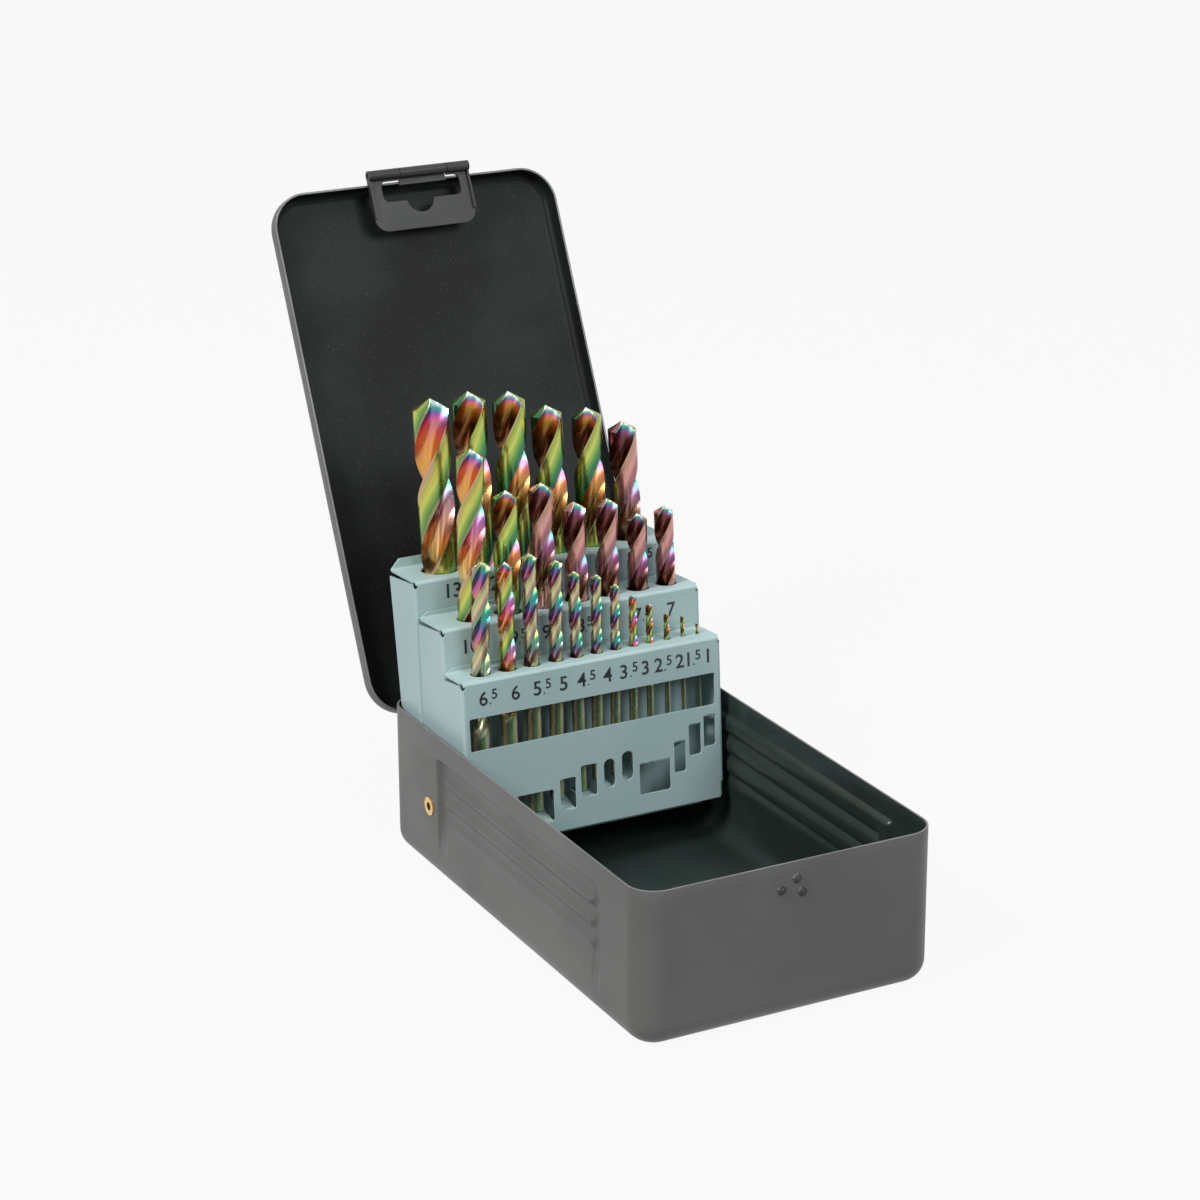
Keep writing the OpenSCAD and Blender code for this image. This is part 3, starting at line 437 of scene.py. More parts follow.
def drawn_pan(name, x_half, y_low, y_high, z_floor, z_rim, corner, edge, paints):
    """An open pan. z_rim may lie under z_floor: then it is a lid, open downwards."""
    depth = abs(z_rim - z_floor)
    middle = Vector((0, (y_low + y_high) / 2, (z_floor + z_rim) / 2)) * MM
    bpy.ops.mesh.primitive_cube_add(size=1, location=middle)
    pan = bpy.context.object
    pan.name = name
    pan.scale = Vector((2 * x_half, y_high - y_low, depth)) * MM
    bpy.ops.object.transform_apply(location=True, rotation=True, scale=True)
    mesh = edit(pan)
    bpy.ops.mesh.select_mode(type="FACE")
    for face in mesh.faces:
        if all(abs(v.co.z - z_rim * MM) < TINY for v in face.verts):
            face.select_set(True)
    bmesh.update_edit_mesh(pan.data)
    bpy.ops.mesh.delete(type="ONLY_FACE")
    pick_edges(pan, lambda a, b: abs(a.z - b.z) > 1e-4)
    bpy.ops.mesh.bevel(offset=corner * MM, offset_type="OFFSET", segments=14, profile=0.5)
    pick_edges(pan, lambda a, b: max(abs(v.z - z_floor * MM) for v in (a, b)) < TINY)
    bpy.ops.mesh.bevel(offset=edge * MM, offset_type="OFFSET", segments=10, profile=0.5)
    bpy.ops.mesh.select_all(action="SELECT")
    bpy.ops.mesh.remove_doubles(threshold=TINY)
    bpy.ops.mesh.normals_make_consistent(inside=False)
    for paint in paints:
        pan.data.materials.append(paint)
    return pan


def give_thickness(pan):
    leave()
    apply_modifier(pan, "SOLIDIFY", "sheet", thickness=SHEET * MM, offset=-1, use_even_offset=True,
                   material_offset=1, material_offset_rim=2)
    apply_modifier(pan, "BEVEL", "rim", width=RIM_ROUND * MM, segments=2, limit_method="ANGLE",
                   angle_limit=math.radians(60))
    smooth(pan, 40)


# %% [markdown]
# ## The pressed panel
# The pan's side walls have a pressed panel: a shallow recess with three long ribs in it that fades
# out towards the bottom. On a real press the punch does this in one stroke, so here one smooth map
# gives the depth at every place of the wall.

# %% The pressed panel
PANEL = (-66.5, 53.5)
PANEL_TOP, PRESS = 46.5, 1.7
PANEL_TURN, RIB_TURN = (-0.9, 1.1), (4.2, 6.2)  # where an end turns, in mm inside the panel's end
PANEL_FADE, RIB_FADE = (8, 27), (14, 26)  # heights over which they grow, in mm
RIB_TOP, RIB_STEP, RIB_HALF = 6.7, 7.5, 1.7
RIB_SHARES = (1, 0.95, 0.8)


def ramp(value, low, high):
    t = np.clip((value - low) / (high - low), 0, 1)
    return t * t * (3 - 2 * t)


def between(value, low, high, before, after):
    """1 from low to high, 0 outside, turning from before to after mm inside each end."""
    return ramp(value, low + before, low + after) * (1 - ramp(value, high - after, high - before))


def press_depth(y, z):
    """Depth of the side panel in mm, positive inwards."""
    ends = between(y, *PANEL, *PANEL_TURN)
    inner = between(y, *PANEL, *RIB_TURN)
    top = 1 - ramp(z, PANEL_TOP - 1.2, PANEL_TOP + 0.9)
    fade, below = ramp(z, *PANEL_FADE), 1 - ramp(z, *RIB_FADE)
    ribs = 0
    for i, share in enumerate(RIB_SHARES):
        height = PANEL_TOP - RIB_TOP - RIB_STEP * i
        ribs = ribs + np.exp(-((z - height) / RIB_HALF) ** 2) * share
    return PRESS * ends * top * fade * (1 - inner * np.clip(ribs + 0.5 * below, 0, 1.05))


print("panel:", PANEL[1] - PANEL[0], "mm long,", PRESS, "mm deep")

# %% [markdown]
# ## The pan
# The walls of the drawn pan are cut into a fine grid by bisecting planes, closer together where
# the pressing turns, and the grid is then pushed in by the depth map. Three pips for the clasp
# are pushed out of the front wall in the same way, and their faces get the clasp's dark paint
# as painted shade.

# %% Base pan
BASE_HALF, BASE_END, BASE_TOP = 55, 94.5, 55
BASE_CORNER, BASE_EDGE = 10, 7.7
PIPS = ((1.2, 49), (-4.3, 46), (3.3, 44))
PIP_RISE, PIP_HALF, PIP_SHADE_SLOT = 1.5, 1.6, 3

base = drawn_pan("pan", BASE_HALF, -BASE_END, BASE_END, 0, BASE_TOP, BASE_CORNER,
                 BASE_EDGE, (case_grey, inside_black, rim_grey))
bisect_at(2, np.concatenate([np.arange(8.2, 41.5, 0.62), np.arange(41.6, 51.6, 0.4)]))
for end in (PANEL[0] - 1.2, PANEL[1] - 7):
    bisect_at(1, end + np.arange(0, 8.3, 0.45))
bisect_at(0, np.arange(-7.2, 6.3, 0.42))
leave()
print("grid:", len(base.data.vertices), "points")

# %% Press the panels and the pips
spots = np.empty(len(base.data.vertices) * 3)
base.data.vertices.foreach_get("co", spots)
spots = spots.reshape(-1, 3) / MM
on_side = np.abs(spots[:, 0]) > BASE_HALF - 0.01
depth = press_depth(spots[:, 1], spots[:, 2])
spots[on_side, 0] -= np.sign(spots[on_side, 0]) * depth[on_side]
on_front = spots[:, 1] < -BASE_END + 0.01
for x, z in PIPS:
    away = np.hypot(spots[:, 0] - x, spots[:, 2] - z) / PIP_HALF
    rise = PIP_RISE * np.clip(1 - away ** 2, 0, 1) ** 0.6
    spots[on_front, 1] -= rise[on_front]
base.data.vertices.foreach_set("co", (spots * MM).ravel())
base.data.update()
# the pips' faces get the dark clasp paint as painted shade
base.data.materials.append(clasp_grey)
for face in base.data.polygons:
    middle = face.center / MM
    on_pip = min(math.hypot(middle.x - x, middle.z - z) for x, z in PIPS) < PIP_HALF * 0.95
    if on_pip and middle.y < -BASE_END + 0.01:
        face.material_index = PIP_SHADE_SLOT
give_thickness(base)
print("pips:", len(PIPS))

# %% [markdown]
# ## The pivot holes
# The rack turns on two eyelets. One long cylinder across the pan cuts both of their holes.

# %% Pivot holes
PIVOT, PIVOT_RADIUS = (60.5, 26.6), 2.16

bpy.ops.mesh.primitive_cylinder_add(vertices=48, radius=PIVOT_RADIUS * MM, depth=0.13,
                                    location=(0, PIVOT[0] * MM, PIVOT[1] * MM),
                                    rotation=(0, math.pi / 2, 0))
drill_through = bpy.context.object
apply_modifier(base, "BOOLEAN", "pivot_holes", object=drill_through, operation="DIFFERENCE",
               solver="EXACT")
bpy.data.objects.remove(drill_through)
smooth(base, 40)
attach(base, "base")
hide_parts("base_pan")
print("pan:", len(base.data.polygons), "faces")

# %% [markdown]
# ## The lid
# The lid is the same kind of pan, shallower, drawn shut and then turned open about the hinge wire.

# %% Lid shell
LID_HALF, LID_FRONT, LID_REAR, LID_RIM, LID_TOP = 56.9, -96.6, 96.0, 52.3, 60.0
HINGE = Vector((0, 96.3, 47.6)) * MM
OPEN = math.radians(-115.8)
LID_CORNER, LID_EDGE = 13.5, 3.9
open_turn = Matrix.Translation(HINGE) @ Matrix.Rotation(OPEN, 4, "X") @ Matrix.Translation(-HINGE)

lid = drawn_pan("lid", LID_HALF, LID_FRONT, LID_REAR, LID_TOP, LID_RIM,
                LID_CORNER, LID_EDGE, (case_grey, lid_black, rim_grey))
give_thickness(lid)
lid.data.transform(open_turn)
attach(lid, "lid")
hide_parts("lid_shell")
print("lid:", len(lid.data.polygons), "faces")

# %% [markdown]
# ## Heat colours
# A thin layer of oxide gives these drills their colours: green, gold, pink and violet, in an order
# that depends on how thick the layer is. The colours run down each flute and across each land, and
# no two drills have quite the same run. Mixed into the runs are painted highlights and painted
# reflections, pale and dark, placed by which way a flute faces the camera. Four kinds of run are
# enough, each a pair of colour ramps.

# %% Runs of colour
def colour_ramp(tree, factor, stops, x, y):
    made = add(tree, "ShaderNodeValToRGB", x, y)
    while len(made.color_ramp.elements) < len(stops):
        made.color_ramp.elements.new(0.5)
    for element, (place, colour) in zip(made.color_ramp.elements, stops):
        element.position = place
        element.color = (*colour, 1)
    tree.links.new(factor, made.inputs[0])
    return made.outputs[0]


FLUTE_OXIDE_AND_REFLECTION = (  # down one turn of a flute, from its top rim, with painted highlights and reflections
    ((0, (0.75, 0.9, 0.75)), (0.05, (0.12, 0.42, 0.4)), (0.11, (0.45, 0.12, 0.4)),
     (0.19, (0.7, 0.2, 0.12)), (0.33, (0.5, 0.22, 0.05)), (0.5, (0.3, 0.15, 0.03)),
     (0.68, (0.2, 0.07, 0.03)), (0.86, (0.32, 0.13, 0.05)), (1, (0.6, 0.3, 0.2))),
    ((0, (0.7, 0.9, 0.85)), (0.07, (0.08, 0.38, 0.36)), (0.17, (0.2, 0.16, 0.42)),
     (0.28, (0.5, 0.13, 0.38)), (0.42, (0.72, 0.2, 0.3)), (0.58, (0.78, 0.3, 0.13)),
     (0.76, (0.75, 0.38, 0.08)), (0.9, (0.62, 0.26, 0.16)), (1, (0.55, 0.25, 0.22))),
    ((0, (0.6, 0.85, 0.6)), (0.05, (0.12, 0.42, 0.3)), (0.12, (0.1, 0.2, 0.36)),
     (0.22, (0.28, 0.1, 0.24)), (0.36, (0.2, 0.07, 0.1)), (0.52, (0.15, 0.06, 0.05)),
     (0.7, (0.26, 0.08, 0.06)), (0.88, (0.42, 0.16, 0.14)), (1, (0.6, 0.3, 0.28))),
    ((0, (0.7, 0.85, 0.5)), (0.08, (0.3, 0.42, 0.1)), (0.2, (0.06, 0.33, 0.2)),
     (0.36, (0.07, 0.33, 0.33)), (0.52, (0.18, 0.17, 0.36)), (0.66, (0.5, 0.14, 0.36)),
     (0.8, (0.62, 0.24, 0.16)), (0.92, (0.45, 0.35, 0.08)), (1, (0.5, 0.5, 0.2))))
LAND_OXIDE_AND_HIGHLIGHT = (  # across one land, with a painted pale highlight stripe
    ((0, (0.5, 0.38, 0.24)), (0.1, (0.34, 0.44, 0.08)), (0.35, (0.62, 0.66, 0.16)),
     (0.55, (0.24, 0.44, 0.1)), (0.8, (0.07, 0.26, 0.11)), (1, (0.05, 0.2, 0.13))),
    ((0, (0.62, 0.36, 0.26)), (0.2, (0.45, 0.42, 0.12)), (0.45, (0.6, 0.6, 0.12)),
     (0.65, (0.3, 0.46, 0.12)), (0.85, (0.12, 0.28, 0.08)), (1, (0.36, 0.3, 0.18))),
    ((0, (0.5, 0.3, 0.2)), (0.2, (0.56, 0.3, 0.24)), (0.45, (0.7, 0.36, 0.32)),
     (0.65, (0.45, 0.2, 0.2)), (0.85, (0.36, 0.16, 0.2)), (1, (0.3, 0.24, 0.16))),
    ((0, (0.6, 0.4, 0.3)), (0.2, (0.4, 0.44, 0.2)), (0.45, (0.66, 0.6, 0.3)),
     (0.65, (0.56, 0.3, 0.3)), (0.85, (0.2, 0.34, 0.18)), (1, (0.3, 0.3, 0.2))))
SHANK_OXIDE_AND_REFLECTION = (  # across the side of a shank, with a painted white reflection among the oxide stripes
    (0, (0.1, 0.14, 0.1)), (0.14, (0.16, 0.34, 0.16)), (0.26, (0.7, 0.75, 0.3)),
    (0.36, (0.95, 0.85, 0.75)), (0.44, (0.7, 0.3, 0.42)), (0.56, (0.2, 0.4, 0.42)),
    (0.7, (0.14, 0.2, 0.12)), (0.82, (0.5, 0.4, 0.2)), (1, (0.1, 0.1, 0.08)))
print("kinds of run:", len(FLUTE_OXIDE_AND_REFLECTION))

# %% [markdown]
# ## Where the colours lie
# Each drill carries three UV maps for its colours: "wrap" is the place round the section and the
# way down from the tip, "heat" counts the turns of the flutes from where they face the camera, so
# that the painted highlights and reflections fall there, and names the kind of run, and "ends"
# tells the tip and the shank. The maps are part of the mesh, so the colours stay where they are
# from any view.

# %% Places on a drill
LAND = 0.5  # share of half a turn

oxide_and_reflection_steel, tree = new_material("oxide_and_reflection_steel")
out = add(tree, "ShaderNodeOutputMaterial", 1300)
shader = add(tree, "ShaderNodeBsdfPrincipled", 1000)


def uv_pair(tree, name, y):
    where = add(tree, "ShaderNodeUVMap", -1600, y, uv_map=name)
    parts = add(tree, "ShaderNodeSeparateXYZ", -1400, y)
    tree.links.new(where.outputs[0], parts.inputs[0])
    return parts.outputs["X"], parts.outputs["Y"]


around, along = uv_pair(tree, "wrap", 200)
turns, kind = uv_pair(tree, "heat", -200)
from_tip, on_shank = uv_pair(tree, "ends", -400)
print("maps read: wrap, heat, ends")

# %% Places in the runs
patch = noise(tree, 70, 3, -1000, 600)
wander = math_node(tree, "MULTIPLY_ADD", patch, 0.3, -0.15, x=-800, y=600)
streak_at = add(tree, "ShaderNodeCombineXYZ", -1200, 700)
tree.links.new(math_node(tree, "MULTIPLY", around, 9, x=-1300, y=800), streak_at.inputs[0])
tree.links.new(turns, streak_at.inputs[1])
streak = add(tree, "ShaderNodeTexNoise", -1000, 800)
streak.inputs["Scale"].default_value = 1.4
tree.links.new(streak_at.outputs[0], streak.inputs["Vector"])
down = math_node(tree, "FRACT", turns, x=-1000, y=0)
# from -1 to 1 across a flute
spoon = math_node(tree, "MULTIPLY_ADD", around, 2 / (1 - LAND), -(1 + LAND) / (1 - LAND),
                  x=-1000, y=-200)
rim = math_node(tree, "MULTIPLY", spoon, spoon, x=-800, y=-200)
slanted = math_node(tree, "MULTIPLY_ADD", spoon, 0.1, down, x=-800, y=0)
arched = math_node(tree, "MULTIPLY_ADD", rim, -0.09, slanted, x=-600, y=0)
drift = math_node(tree, "MULTIPLY", wander, 0.6, x=-600, y=300)
flute_at = math_node(tree, "ADD", arched, drift, x=-400, y=0, clamp=True)
# at the tip the colours follow the rounded rim of the flute
under_rim = math_node(tree, "MULTIPLY_ADD", rim, -0.24, from_tip, x=-600, y=-400)
near_tip = band(tree, under_rim, 0.04, 0.62, -400, -400)
flute_at = math_node(tree, "MULTIPLY", flute_at, near_tip, x=-200, y=0)
land_at = math_node(tree, "MULTIPLY_ADD", around, 1 / LAND, wander, x=-400, y=300, clamp=True)
print("places: down the flute, across the land, near the tip")

# %% One pair of ramps for each kind
for number, (flute_stops, land_stops) in enumerate(zip(FLUTE_OXIDE_AND_REFLECTION, LAND_OXIDE_AND_HIGHLIGHT)):
    one_flute = colour_ramp(tree, flute_at, flute_stops, -100, -300 * number)
    one_land = colour_ramp(tree, land_at, land_stops, -100, 400 + 300 * number)
    if number == 0:
        flute_tint_and_reflection, land_tint_and_highlight = one_flute, one_land
        continue
    chosen = add(tree, "ShaderNodeMath", -100, -1200, operation="COMPARE")
    tree.links.new(kind, chosen.inputs[0])
    chosen.inputs[1].default_value = number / 4
    chosen.inputs[2].default_value = 0.1
    flute_tint_and_reflection = mix(tree, chosen.outputs[0], flute_tint_and_reflection, one_flute, 200, -300 * number)
    land_tint_and_highlight = mix(tree, chosen.outputs[0], land_tint_and_highlight, one_land, 200, 400 + 300 * number)
print("ramps:", 2 * len(FLUTE_OXIDE_AND_REFLECTION))

# %% [markdown]
# ## Gold streaks, shanks and grinding marks
# Further down, a flute is more golden, with pale streaks that follow it. The shank has stripes
# along its length: oxide colours with a painted white reflection, placed by which way it faces the
# camera. It is given less metal so that these painted stripes show in the rack's shade. Grinding
# marks change the gloss and the relief everywhere.

# %% Streaks and shanks
DARK_GOLD, PALE_GOLD = (0.36, 0.22, 0.05), (0.85, 0.66, 0.3)

low_down = band(tree, along, 0.2, 0.5, 0, -1400)
pale = band(tree, streak.outputs["Fac"], 0.4, 0.62, 0, 900)
golden = mix(tree, pale, DARK_GOLD, PALE_GOLD, 200, 900)
gold_share = math_node(tree, "MULTIPLY", low_down, 0.55, x=200, y=-1400)
flute_tint_and_reflection = mix(tree, gold_share, flute_tint_and_reflection, golden, 400, -300)
in_flute = band(tree, around, LAND - 0.01, LAND + 0.01, 200, 200)
tone = mix(tree, in_flute, land_tint_and_highlight, flute_tint_and_reflection, 600, 100)
shank_at = math_node(tree, "ADD", around, 9 - LAND / 2, x=-600, y=1100)
shank_at = math_node(tree, "SUBTRACT", shank_at, turns, x=-400, y=1100)
shank_at = math_node(tree, "FRACT", shank_at, x=-200, y=1100)
shank_tint_and_reflection = colour_ramp(tree, shank_at, SHANK_OXIDE_AND_REFLECTION, 0, 1100)
tone = mix(tree, on_shank, tone, shank_tint_and_reflection, 700, 100)
# less metal lets the painted stripes show where the rack shades the shank
metal = math_node(tree, "MULTIPLY_ADD", on_shank, -0.55, 1, x=700, y=-200)
tree.links.new(metal, shader.inputs["Metallic"])
shade_streak = math_node(tree, "MULTIPLY_ADD", streak.outputs["Fac"], 0.9, 0.5, x=400, y=600)
tone = mix(tree, 0.75, tone, shade_streak, 800, 100, "MULTIPLY")
tree.links.new(tone, shader.inputs["Base Color"])
print("colour of the drills linked")

# %% Grinding marks
grind = noise(tree, 900, 3, -600, -500, (1, 1, 0.25))
gloss = math_node(tree, "MULTIPLY_ADD", grind, 0.16, 0.19, x=0, y=-300)
tree.links.new(gloss, shader.inputs["Roughness"])
bump = add(tree, "ShaderNodeBump", 300, -400)
bump.inputs["Strength"].default_value = 0.1
bump.inputs["Distance"].default_value = 0.0001
tree.links.new(grind, bump.inputs["Height"])
tree.links.new(bump.outputs[0], shader.inputs["Normal"])
tree.links.new(shader.outputs[0], out.inputs[0])
print("oxide_and_reflection_steel:", len(tree.nodes), "nodes")

# %% [markdown]
# ## Twist drills
# A twist drill is a rod with two helical flutes and a roof-like point of 118 degrees. Here each one
# starts as a circle, is extruded to its length, and has its long edges subdivided into rings. Every
# ring is then shaped to the drill's cross-section and turned by the helix. Rings lie closer
# together on the point, so that the cutting edges stay sharp.

# %% Helpers: places on the rack and the section
LEAN = math.radians(4)
WEB = 0.2  # the core between the flutes, in radii
MARGIN = 0.03  # how far the land's back is ground below its leading edge
MARGIN_STEP = (0.045, 0.07)  # where it steps down, in shares of half a turn


def raised(x, u, w):
    """A point of the rack, across, back and up its sheets in mm, as a place in metres."""
    y = PIVOT[0] + u * math.cos(LEAN) + w * math.sin(LEAN)
    z = PIVOT[1] - u * math.sin(LEAN) + w * math.cos(LEAN)
    return Vector((x, y, z)) * MM


def section(turn):
    """The drill's cross-section in shares of its radius, at a fraction of half a turn."""
    margin = 1 - MARGIN * ramp(turn, *MARGIN_STEP)
    t = np.clip((turn - LAND) / (1 - LAND), 0, 1)
    wide, middle = (1 - LAND) * np.pi / 2, (1 + LAND) * np.pi / 2
    across = math.sin(wide) * (2 * t - 1)
    deep = WEB + (math.cos(wide) - WEB) * (2 * t - 1) ** 2
    scale = 1 - MARGIN * (1 - t)
    groove = (deep * math.cos(middle) - across * math.sin(middle),
              deep * math.sin(middle) + across * math.cos(middle))
    land = turn < LAND
    return (np.where(land, margin * np.cos(turn * np.pi), scale * groove[0]),
            np.where(land, margin * np.sin(turn * np.pi), scale * groove[1]))


# %% Helper: a rod of rings
SECTION = 60
FOOT_EDGE, FOOT_SHARE = 0.4, 0.9  # the chamfer at the foot: its height in mm and its end's radius
RINGS_PER_RADIUS, OTHER_RINGS = 4.2, 18
POINT_SLOPE = math.tan(math.radians(59))
POINT_RINGS = np.array([0.08, 0.17, 0.27, 0.37, 0.48, 0.59, 0.69, 0.78, 0.86, 0.92, 0.96, 0.985])


def ringed_rod(size, length, flute):
    """A rod of that size, with each point's ring and angle and each ring's height in mm."""
    radius = size / 2
    bpy.ops.mesh.primitive_circle_add(vertices=SECTION, radius=radius * MM, fill_type="NGON")
    drill = bpy.context.object
    drill.name = "twist_drill_%04.1f" % size
    edit(drill)
    bpy.ops.mesh.select_all(action="SELECT")
    bpy.ops.mesh.extrude_region_move(TRANSFORM_OT_translate={"value": (0, 0, length * MM)})
    rings = int(flute / radius * RINGS_PER_RADIUS) + OTHER_RINGS
    pick_edges(drill, lambda a, b: abs(a.z - b.z) > 1e-5)
    bpy.ops.mesh.subdivide(number_cuts=rings - 2)
    bpy.ops.mesh.select_all(action="SELECT")
    bpy.ops.mesh.normals_make_consistent(inside=False)
    leave()
    cone = radius / POINT_SLOPE
    start = length - flute
    shank = [0, FOOT_EDGE, start - 0.01]
    steps = rings - len(shank) - len(POINT_RINGS)
    heights = np.concatenate([shank, np.linspace(start, length - cone, steps),
                              length - cone + cone * POINT_RINGS])
    spots = np.empty(len(drill.data.vertices) * 3)
    drill.data.vertices.foreach_get("co", spots)
    spots = spots.reshape(-1, 3)
    ring = np.rint(spots[:, 2] / (length * MM) * (rings - 1)).astype(int)
    angle = np.arctan2(spots[:, 1], spots[:, 0]) % (2 * np.pi)
    return drill, ring, angle, heights[ring]


# %% Helper: maps for the colours
CAMERA_SIDE = math.radians(-117.65)  # a run of colour and its painted highlight start where a flute opens to this side, towards the camera


def map_colours(drill, size, length, half, z, runout, twist, kind):
    """Gives the drill its three UV maps."""
    corners = np.array([c.vertex_index for c in drill.data.loops])
    wrap = np.stack([half[corners], (length - z[corners]) / 100], 1)
    for face in drill.data.polygons:
        loop = list(face.loop_indices)
        if wrap[loop, 0].max() - wrap[loop, 0].min() > 0.5:
            wrap[[c for c in loop if wrap[c, 0] < 0.5], 0] = 1.0
    # the runs start where a flute faces the camera, which places their painted highlights and
    # reflections
    facing = 8.5 - ((1 + LAND) * math.pi / 2 + twist - CAMERA_SIDE) / math.pi
    heat = np.stack([facing[corners], np.full(len(corners), kind / 4)], 1)
    ends = np.stack([(length - z[corners]) / size, 1 - runout[corners]], 1)
    for name, values in (("wrap", wrap), ("heat", heat), ("ends", ends)):
        drill.data.uv_layers.new(name=name).data.foreach_set("uv", values.ravel())


# %% Helper: one drill
HELIX = math.tan(math.radians(29))
LAND_START = math.radians(-10.8)
RUNOUT = 2.2  # radii over which a flute runs out into the shank


def twist_drill(size, length, flute, turn, tilt, x, u, top, seat, kind):
    """A drill of that size in a hole of the rack, its foot on the stop."""
    radius = size / 2
    start = length - flute
    drill, ring, angle, z = ringed_rod(size, length, flute)
    half = (angle / np.pi) % 1
    runout = ramp(z, start, start + RUNOUT * radius)
    cut_x, cut_y = section(half)
    flat_x = (1 - runout) * np.cos(half * np.pi) + runout * cut_x
    flat_y = (1 - runout) * np.sin(half * np.pi) + runout * cut_y
    grow = radius * np.where(ring == 0, FOOT_SHARE, 1)
    far = np.hypot(flat_x, flat_y) * grow
    grow = grow * np.minimum(1, (length - z) * POINT_SLOPE / far)
    twist = LAND_START + math.radians(turn) + (np.maximum(z, start) - length) * HELIX / radius
    turned = twist + np.where(angle >= np.pi, np.pi, 0)
    placed = np.stack([grow * (flat_x * np.cos(turned) - flat_y * np.sin(turned)),
                       grow * (flat_x * np.sin(turned) + flat_y * np.cos(turned)), z], 1) * MM
    drill.data.vertices.foreach_set("co", placed.ravel())
    map_colours(drill, size, length, half, z, runout, twist, kind)
    foot = seat + radius * math.sin(abs(math.radians(tilt)))
    place = raised(x - (top - foot) * math.tan(math.radians(tilt)), u, foot)
    lean = Matrix.Rotation(-LEAN, 4, "X") @ Matrix.Rotation(math.radians(tilt), 4, "Y")
    drill.data.transform(Matrix.Translation(place) @ lean)
    drill.data.materials.append(oxide_and_reflection_steel)
    smooth(drill, 44)
    return drill


# %% The whole set
SMALL = [  # size, length, flute, turn, tilt, across, shown
    (6.5, 100.5, 63, -13, 3.2, -40, 39.9), (6, 93, 57, -41, 1.2, -29.7, 38.3),
    (5.5, 93, 57, -14, 0.8, -20.3, 39.9), (5, 86, 52, -9, 2, -10.9, 36),
    (4.5, 80, 47, -21, 0.3, -2.9, 30.8), (4, 75, 43, -21, 1.7, 5.1, 28.2),
    (3.5, 70, 39, -21, 1.8, 12.4, 23.6), (3, 61, 33, -24, 1.7, 19.6, 18.3),
    (2.5, 57, 30, -24, 1.2, 26.2, 14.1), (2, 49, 24, -24, 0.8, 33.1, 9.6),
    (1.5, 40, 18, -24, 0.8, 39.5, 7.5), (1, 34, 12, -24, -1, 45.4, 3.8)]
MEDIUM = [  # size, length, flute, turn, tilt, across
    (10, 133, 87, -24, 2.4, -35.2), (9.5, 125, 81, -35, 1.3, -21.1),
    (9, 125.7, 81, -30, 1.5, -7.6), (8.5, 117, 75, -7, 0, 6), (8, 116.2, 75, -15, 1.3, 18.3),
    (7.5, 109, 69, -35, 1.2, 30.3), (7, 110, 69, -19, -0.4, 41.8)]
LARGE = [
    (13, 151.5, 101, -7, -0.6, -36.7), (12.5, 152, 101, -26, -1.2, -21.5),
    (12, 150, 101, -34, -1, -6.3), (11.5, 143, 94, -22, -1.7, 8.7),
    (11, 140, 94, -40, -0.8, 23.8), (10.5, 133, 87, -20, -1.4, 38.2)]
SMALL_TOP, MEDIUM_TOP, LARGE_TOP = 49.65, 65.2, 78.1
SMALL_ROW, MEDIUM_ROW, LARGE_ROW = -15.0, 0.3, 21.5
STOP, LONG_STOP, LARGE_STOP = -16.29, -7.8, -11.79
stands = []
for *drill, x, shown in SMALL:
    size, length, _, _, tilt = drill
    upright, aside = math.cos(math.radians(tilt)), math.sin(abs(math.radians(tilt)))
    seat = SMALL_TOP + shown - length * upright - size / 2 * aside
    stands.append((*drill, x, SMALL_ROW, SMALL_TOP, seat))
for *drill, x in MEDIUM:
    stands.append((*drill, x, MEDIUM_ROW, MEDIUM_TOP, LONG_STOP if drill[0] == 10 else STOP))
stands += [(*drill, x, LARGE_ROW, LARGE_TOP, LARGE_STOP) for *drill, x in LARGE]
print("drills to make:", len(stands))

# %% Make the drills
KINDS = {13: 1, 12.5: 0, 12: 0, 11.5: 0, 11: 0, 10.5: 2, 10: 1, 9.5: 0, 9: 2, 8.5: 2, 8: 2, 7.5: 2,
         7: 2, 6.5: 3, 6: 1, 5.5: 3, 5: 3, 4.5: 3, 4: 3, 3.5: 3, 3: 1, 2.5: 0, 2: 0, 1.5: 0, 1: 0}
for stand in stands:
    drill = twist_drill(*stand, KINDS[stand[0]])
    size = stand[0]
    node = "drill_%02d_%d" % (int(size), round(10 * (size - int(size))))
    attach(drill, node)
    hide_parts(node)
print("drills made:", len(stands))

# %% [markdown]
# ## Printed sizes
# The drill sizes are printed on the front sheets in plain black figures. A half is written as a
# point with a small raised five. Each figure is a text object made a mesh, a few hundredths of a
# millimetre thick, laid on the sheet.

# %% Helper: one figure
figure_black = painted("figure_black", (0.012, 0.015, 0.016), (0.02, 0.024, 0.025),
                       roughness=0.5, change=0.1, wear=0.1, relief=0.02, shine=0.5)
INK_SINK, INK_DEPTH, INK_BOLD = 0.03, 0.004, 0.011


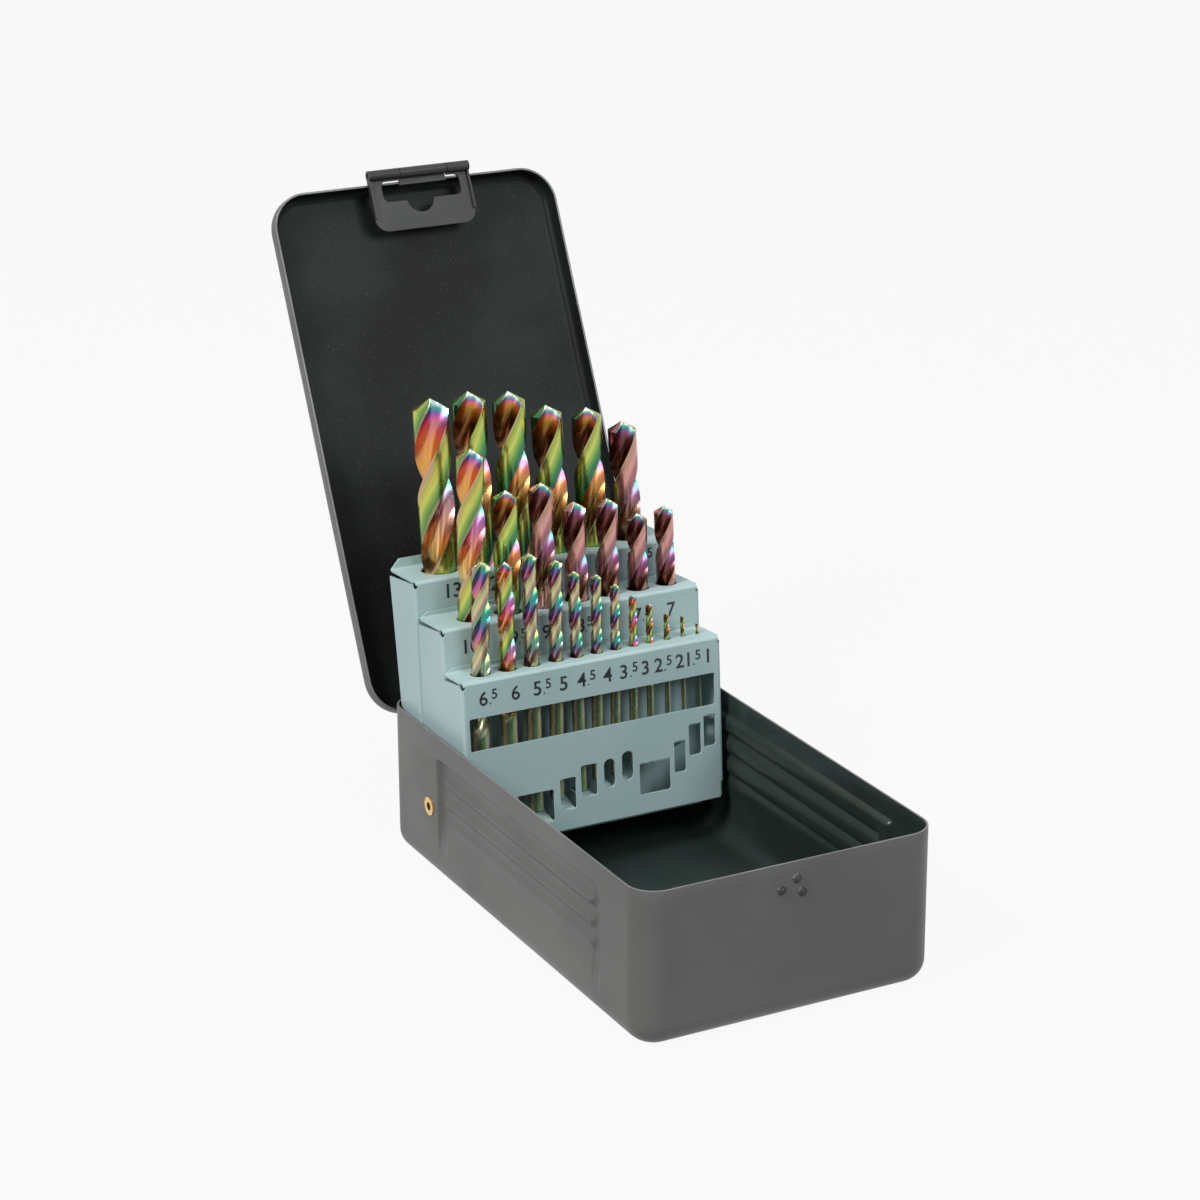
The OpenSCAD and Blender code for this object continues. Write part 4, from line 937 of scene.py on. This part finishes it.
def figure(text, x, u, w, tall):
    """A figure with its left foot at x, w on the front face u of a rack sheet."""
    bpy.ops.object.text_add()
    made = bpy.context.object
    made.data.body = text
    made.data.size = 1
    made.data.extrude = INK_DEPTH
    made.data.offset = INK_BOLD
    bpy.ops.object.convert(target="MESH")
    made = bpy.context.object
    spots = [v.co.copy() for v in made.data.vertices]
    low = Vector((min(s.x for s in spots), min(s.y for s in spots), 0))
    high = max(s.y for s in spots)
    grow = tall / (high - low.y) * MM
    made.data.transform(Matrix.Diagonal((grow, grow, grow, 1)) @ Matrix.Translation(-low))
    upright = Matrix.Rotation(math.pi / 2 - LEAN, 4, "X")
    made.data.transform(Matrix.Translation(raised(x, u - INK_SINK, w)) @ upright)
    return made


# %% Print the sizes
POINT_TALL, FIVE_SHARE, FIVE_UP, FIVE_ASIDE = 0.62, 0.7, 0.36, 0.95
LABELS = {
    "small": (-22.2, 40.6, 5.1, [
        ("6", -44.2), (".5", -40.4), ("6", -31.9), ("5", -23.5), (".5", -19.7), ("5", -13.3),
        ("4", -6.5), (".5", -2.4), ("4", 3.7), ("3", 10.4), (".5", 14.3), ("3", 19.0),
        ("2", 24.0), (".5", 27.9), ("2", 32.5), ("1", 37.2), (".5", 39.5), ("1", 45.1)]),
    "medium": (-7.8, 55.4, 5.1, [
        ("10", -42.2), ("9", -24.7), (".5", -21.3), ("9", -12.0), ("8", 1.2), (".5", 4.6),
        ("8", 14.6), ("7", 24.0), (".5", 27.6), ("7", 37.5)]),
    "large": (11.0, 70.4, 5.3, [
        ("13", -39.3), ("12", -24.9), (".5", -18.0), ("12", -11.6), ("11", 3.2), (".5", 8.6),
        ("11", 19.2), ("10", 32.4), (".5", 39.3)]),
}
for row, (face, foot, tall, figures) in LABELS.items():
    parts = []
    for text, x in figures:
        if text == ".5":
            parts.append(figure(".", x, face, foot + 0.05, POINT_TALL))
            parts.append(figure("5", x + FIVE_ASIDE, face, foot + FIVE_UP * tall,
                                tall * FIVE_SHARE))
        else:
            parts.append(figure(text, x, face, foot, tall))
    bpy.ops.object.select_all(action="DESELECT")
    for part in parts:
        part.select_set(True)
    bpy.context.view_layer.objects.active = parts[0]
    bpy.ops.object.join()
    sizes = bpy.context.object
    sizes.name = "sizes_" + row
    bpy.ops.object.transform_apply(location=True, rotation=True, scale=True)
    sizes.data.materials.clear()
    sizes.data.materials.append(figure_black)
    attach(sizes, "rack")
    bpy.ops.object.select_all(action="DESELECT")
print("rows of figures:", len(LABELS))
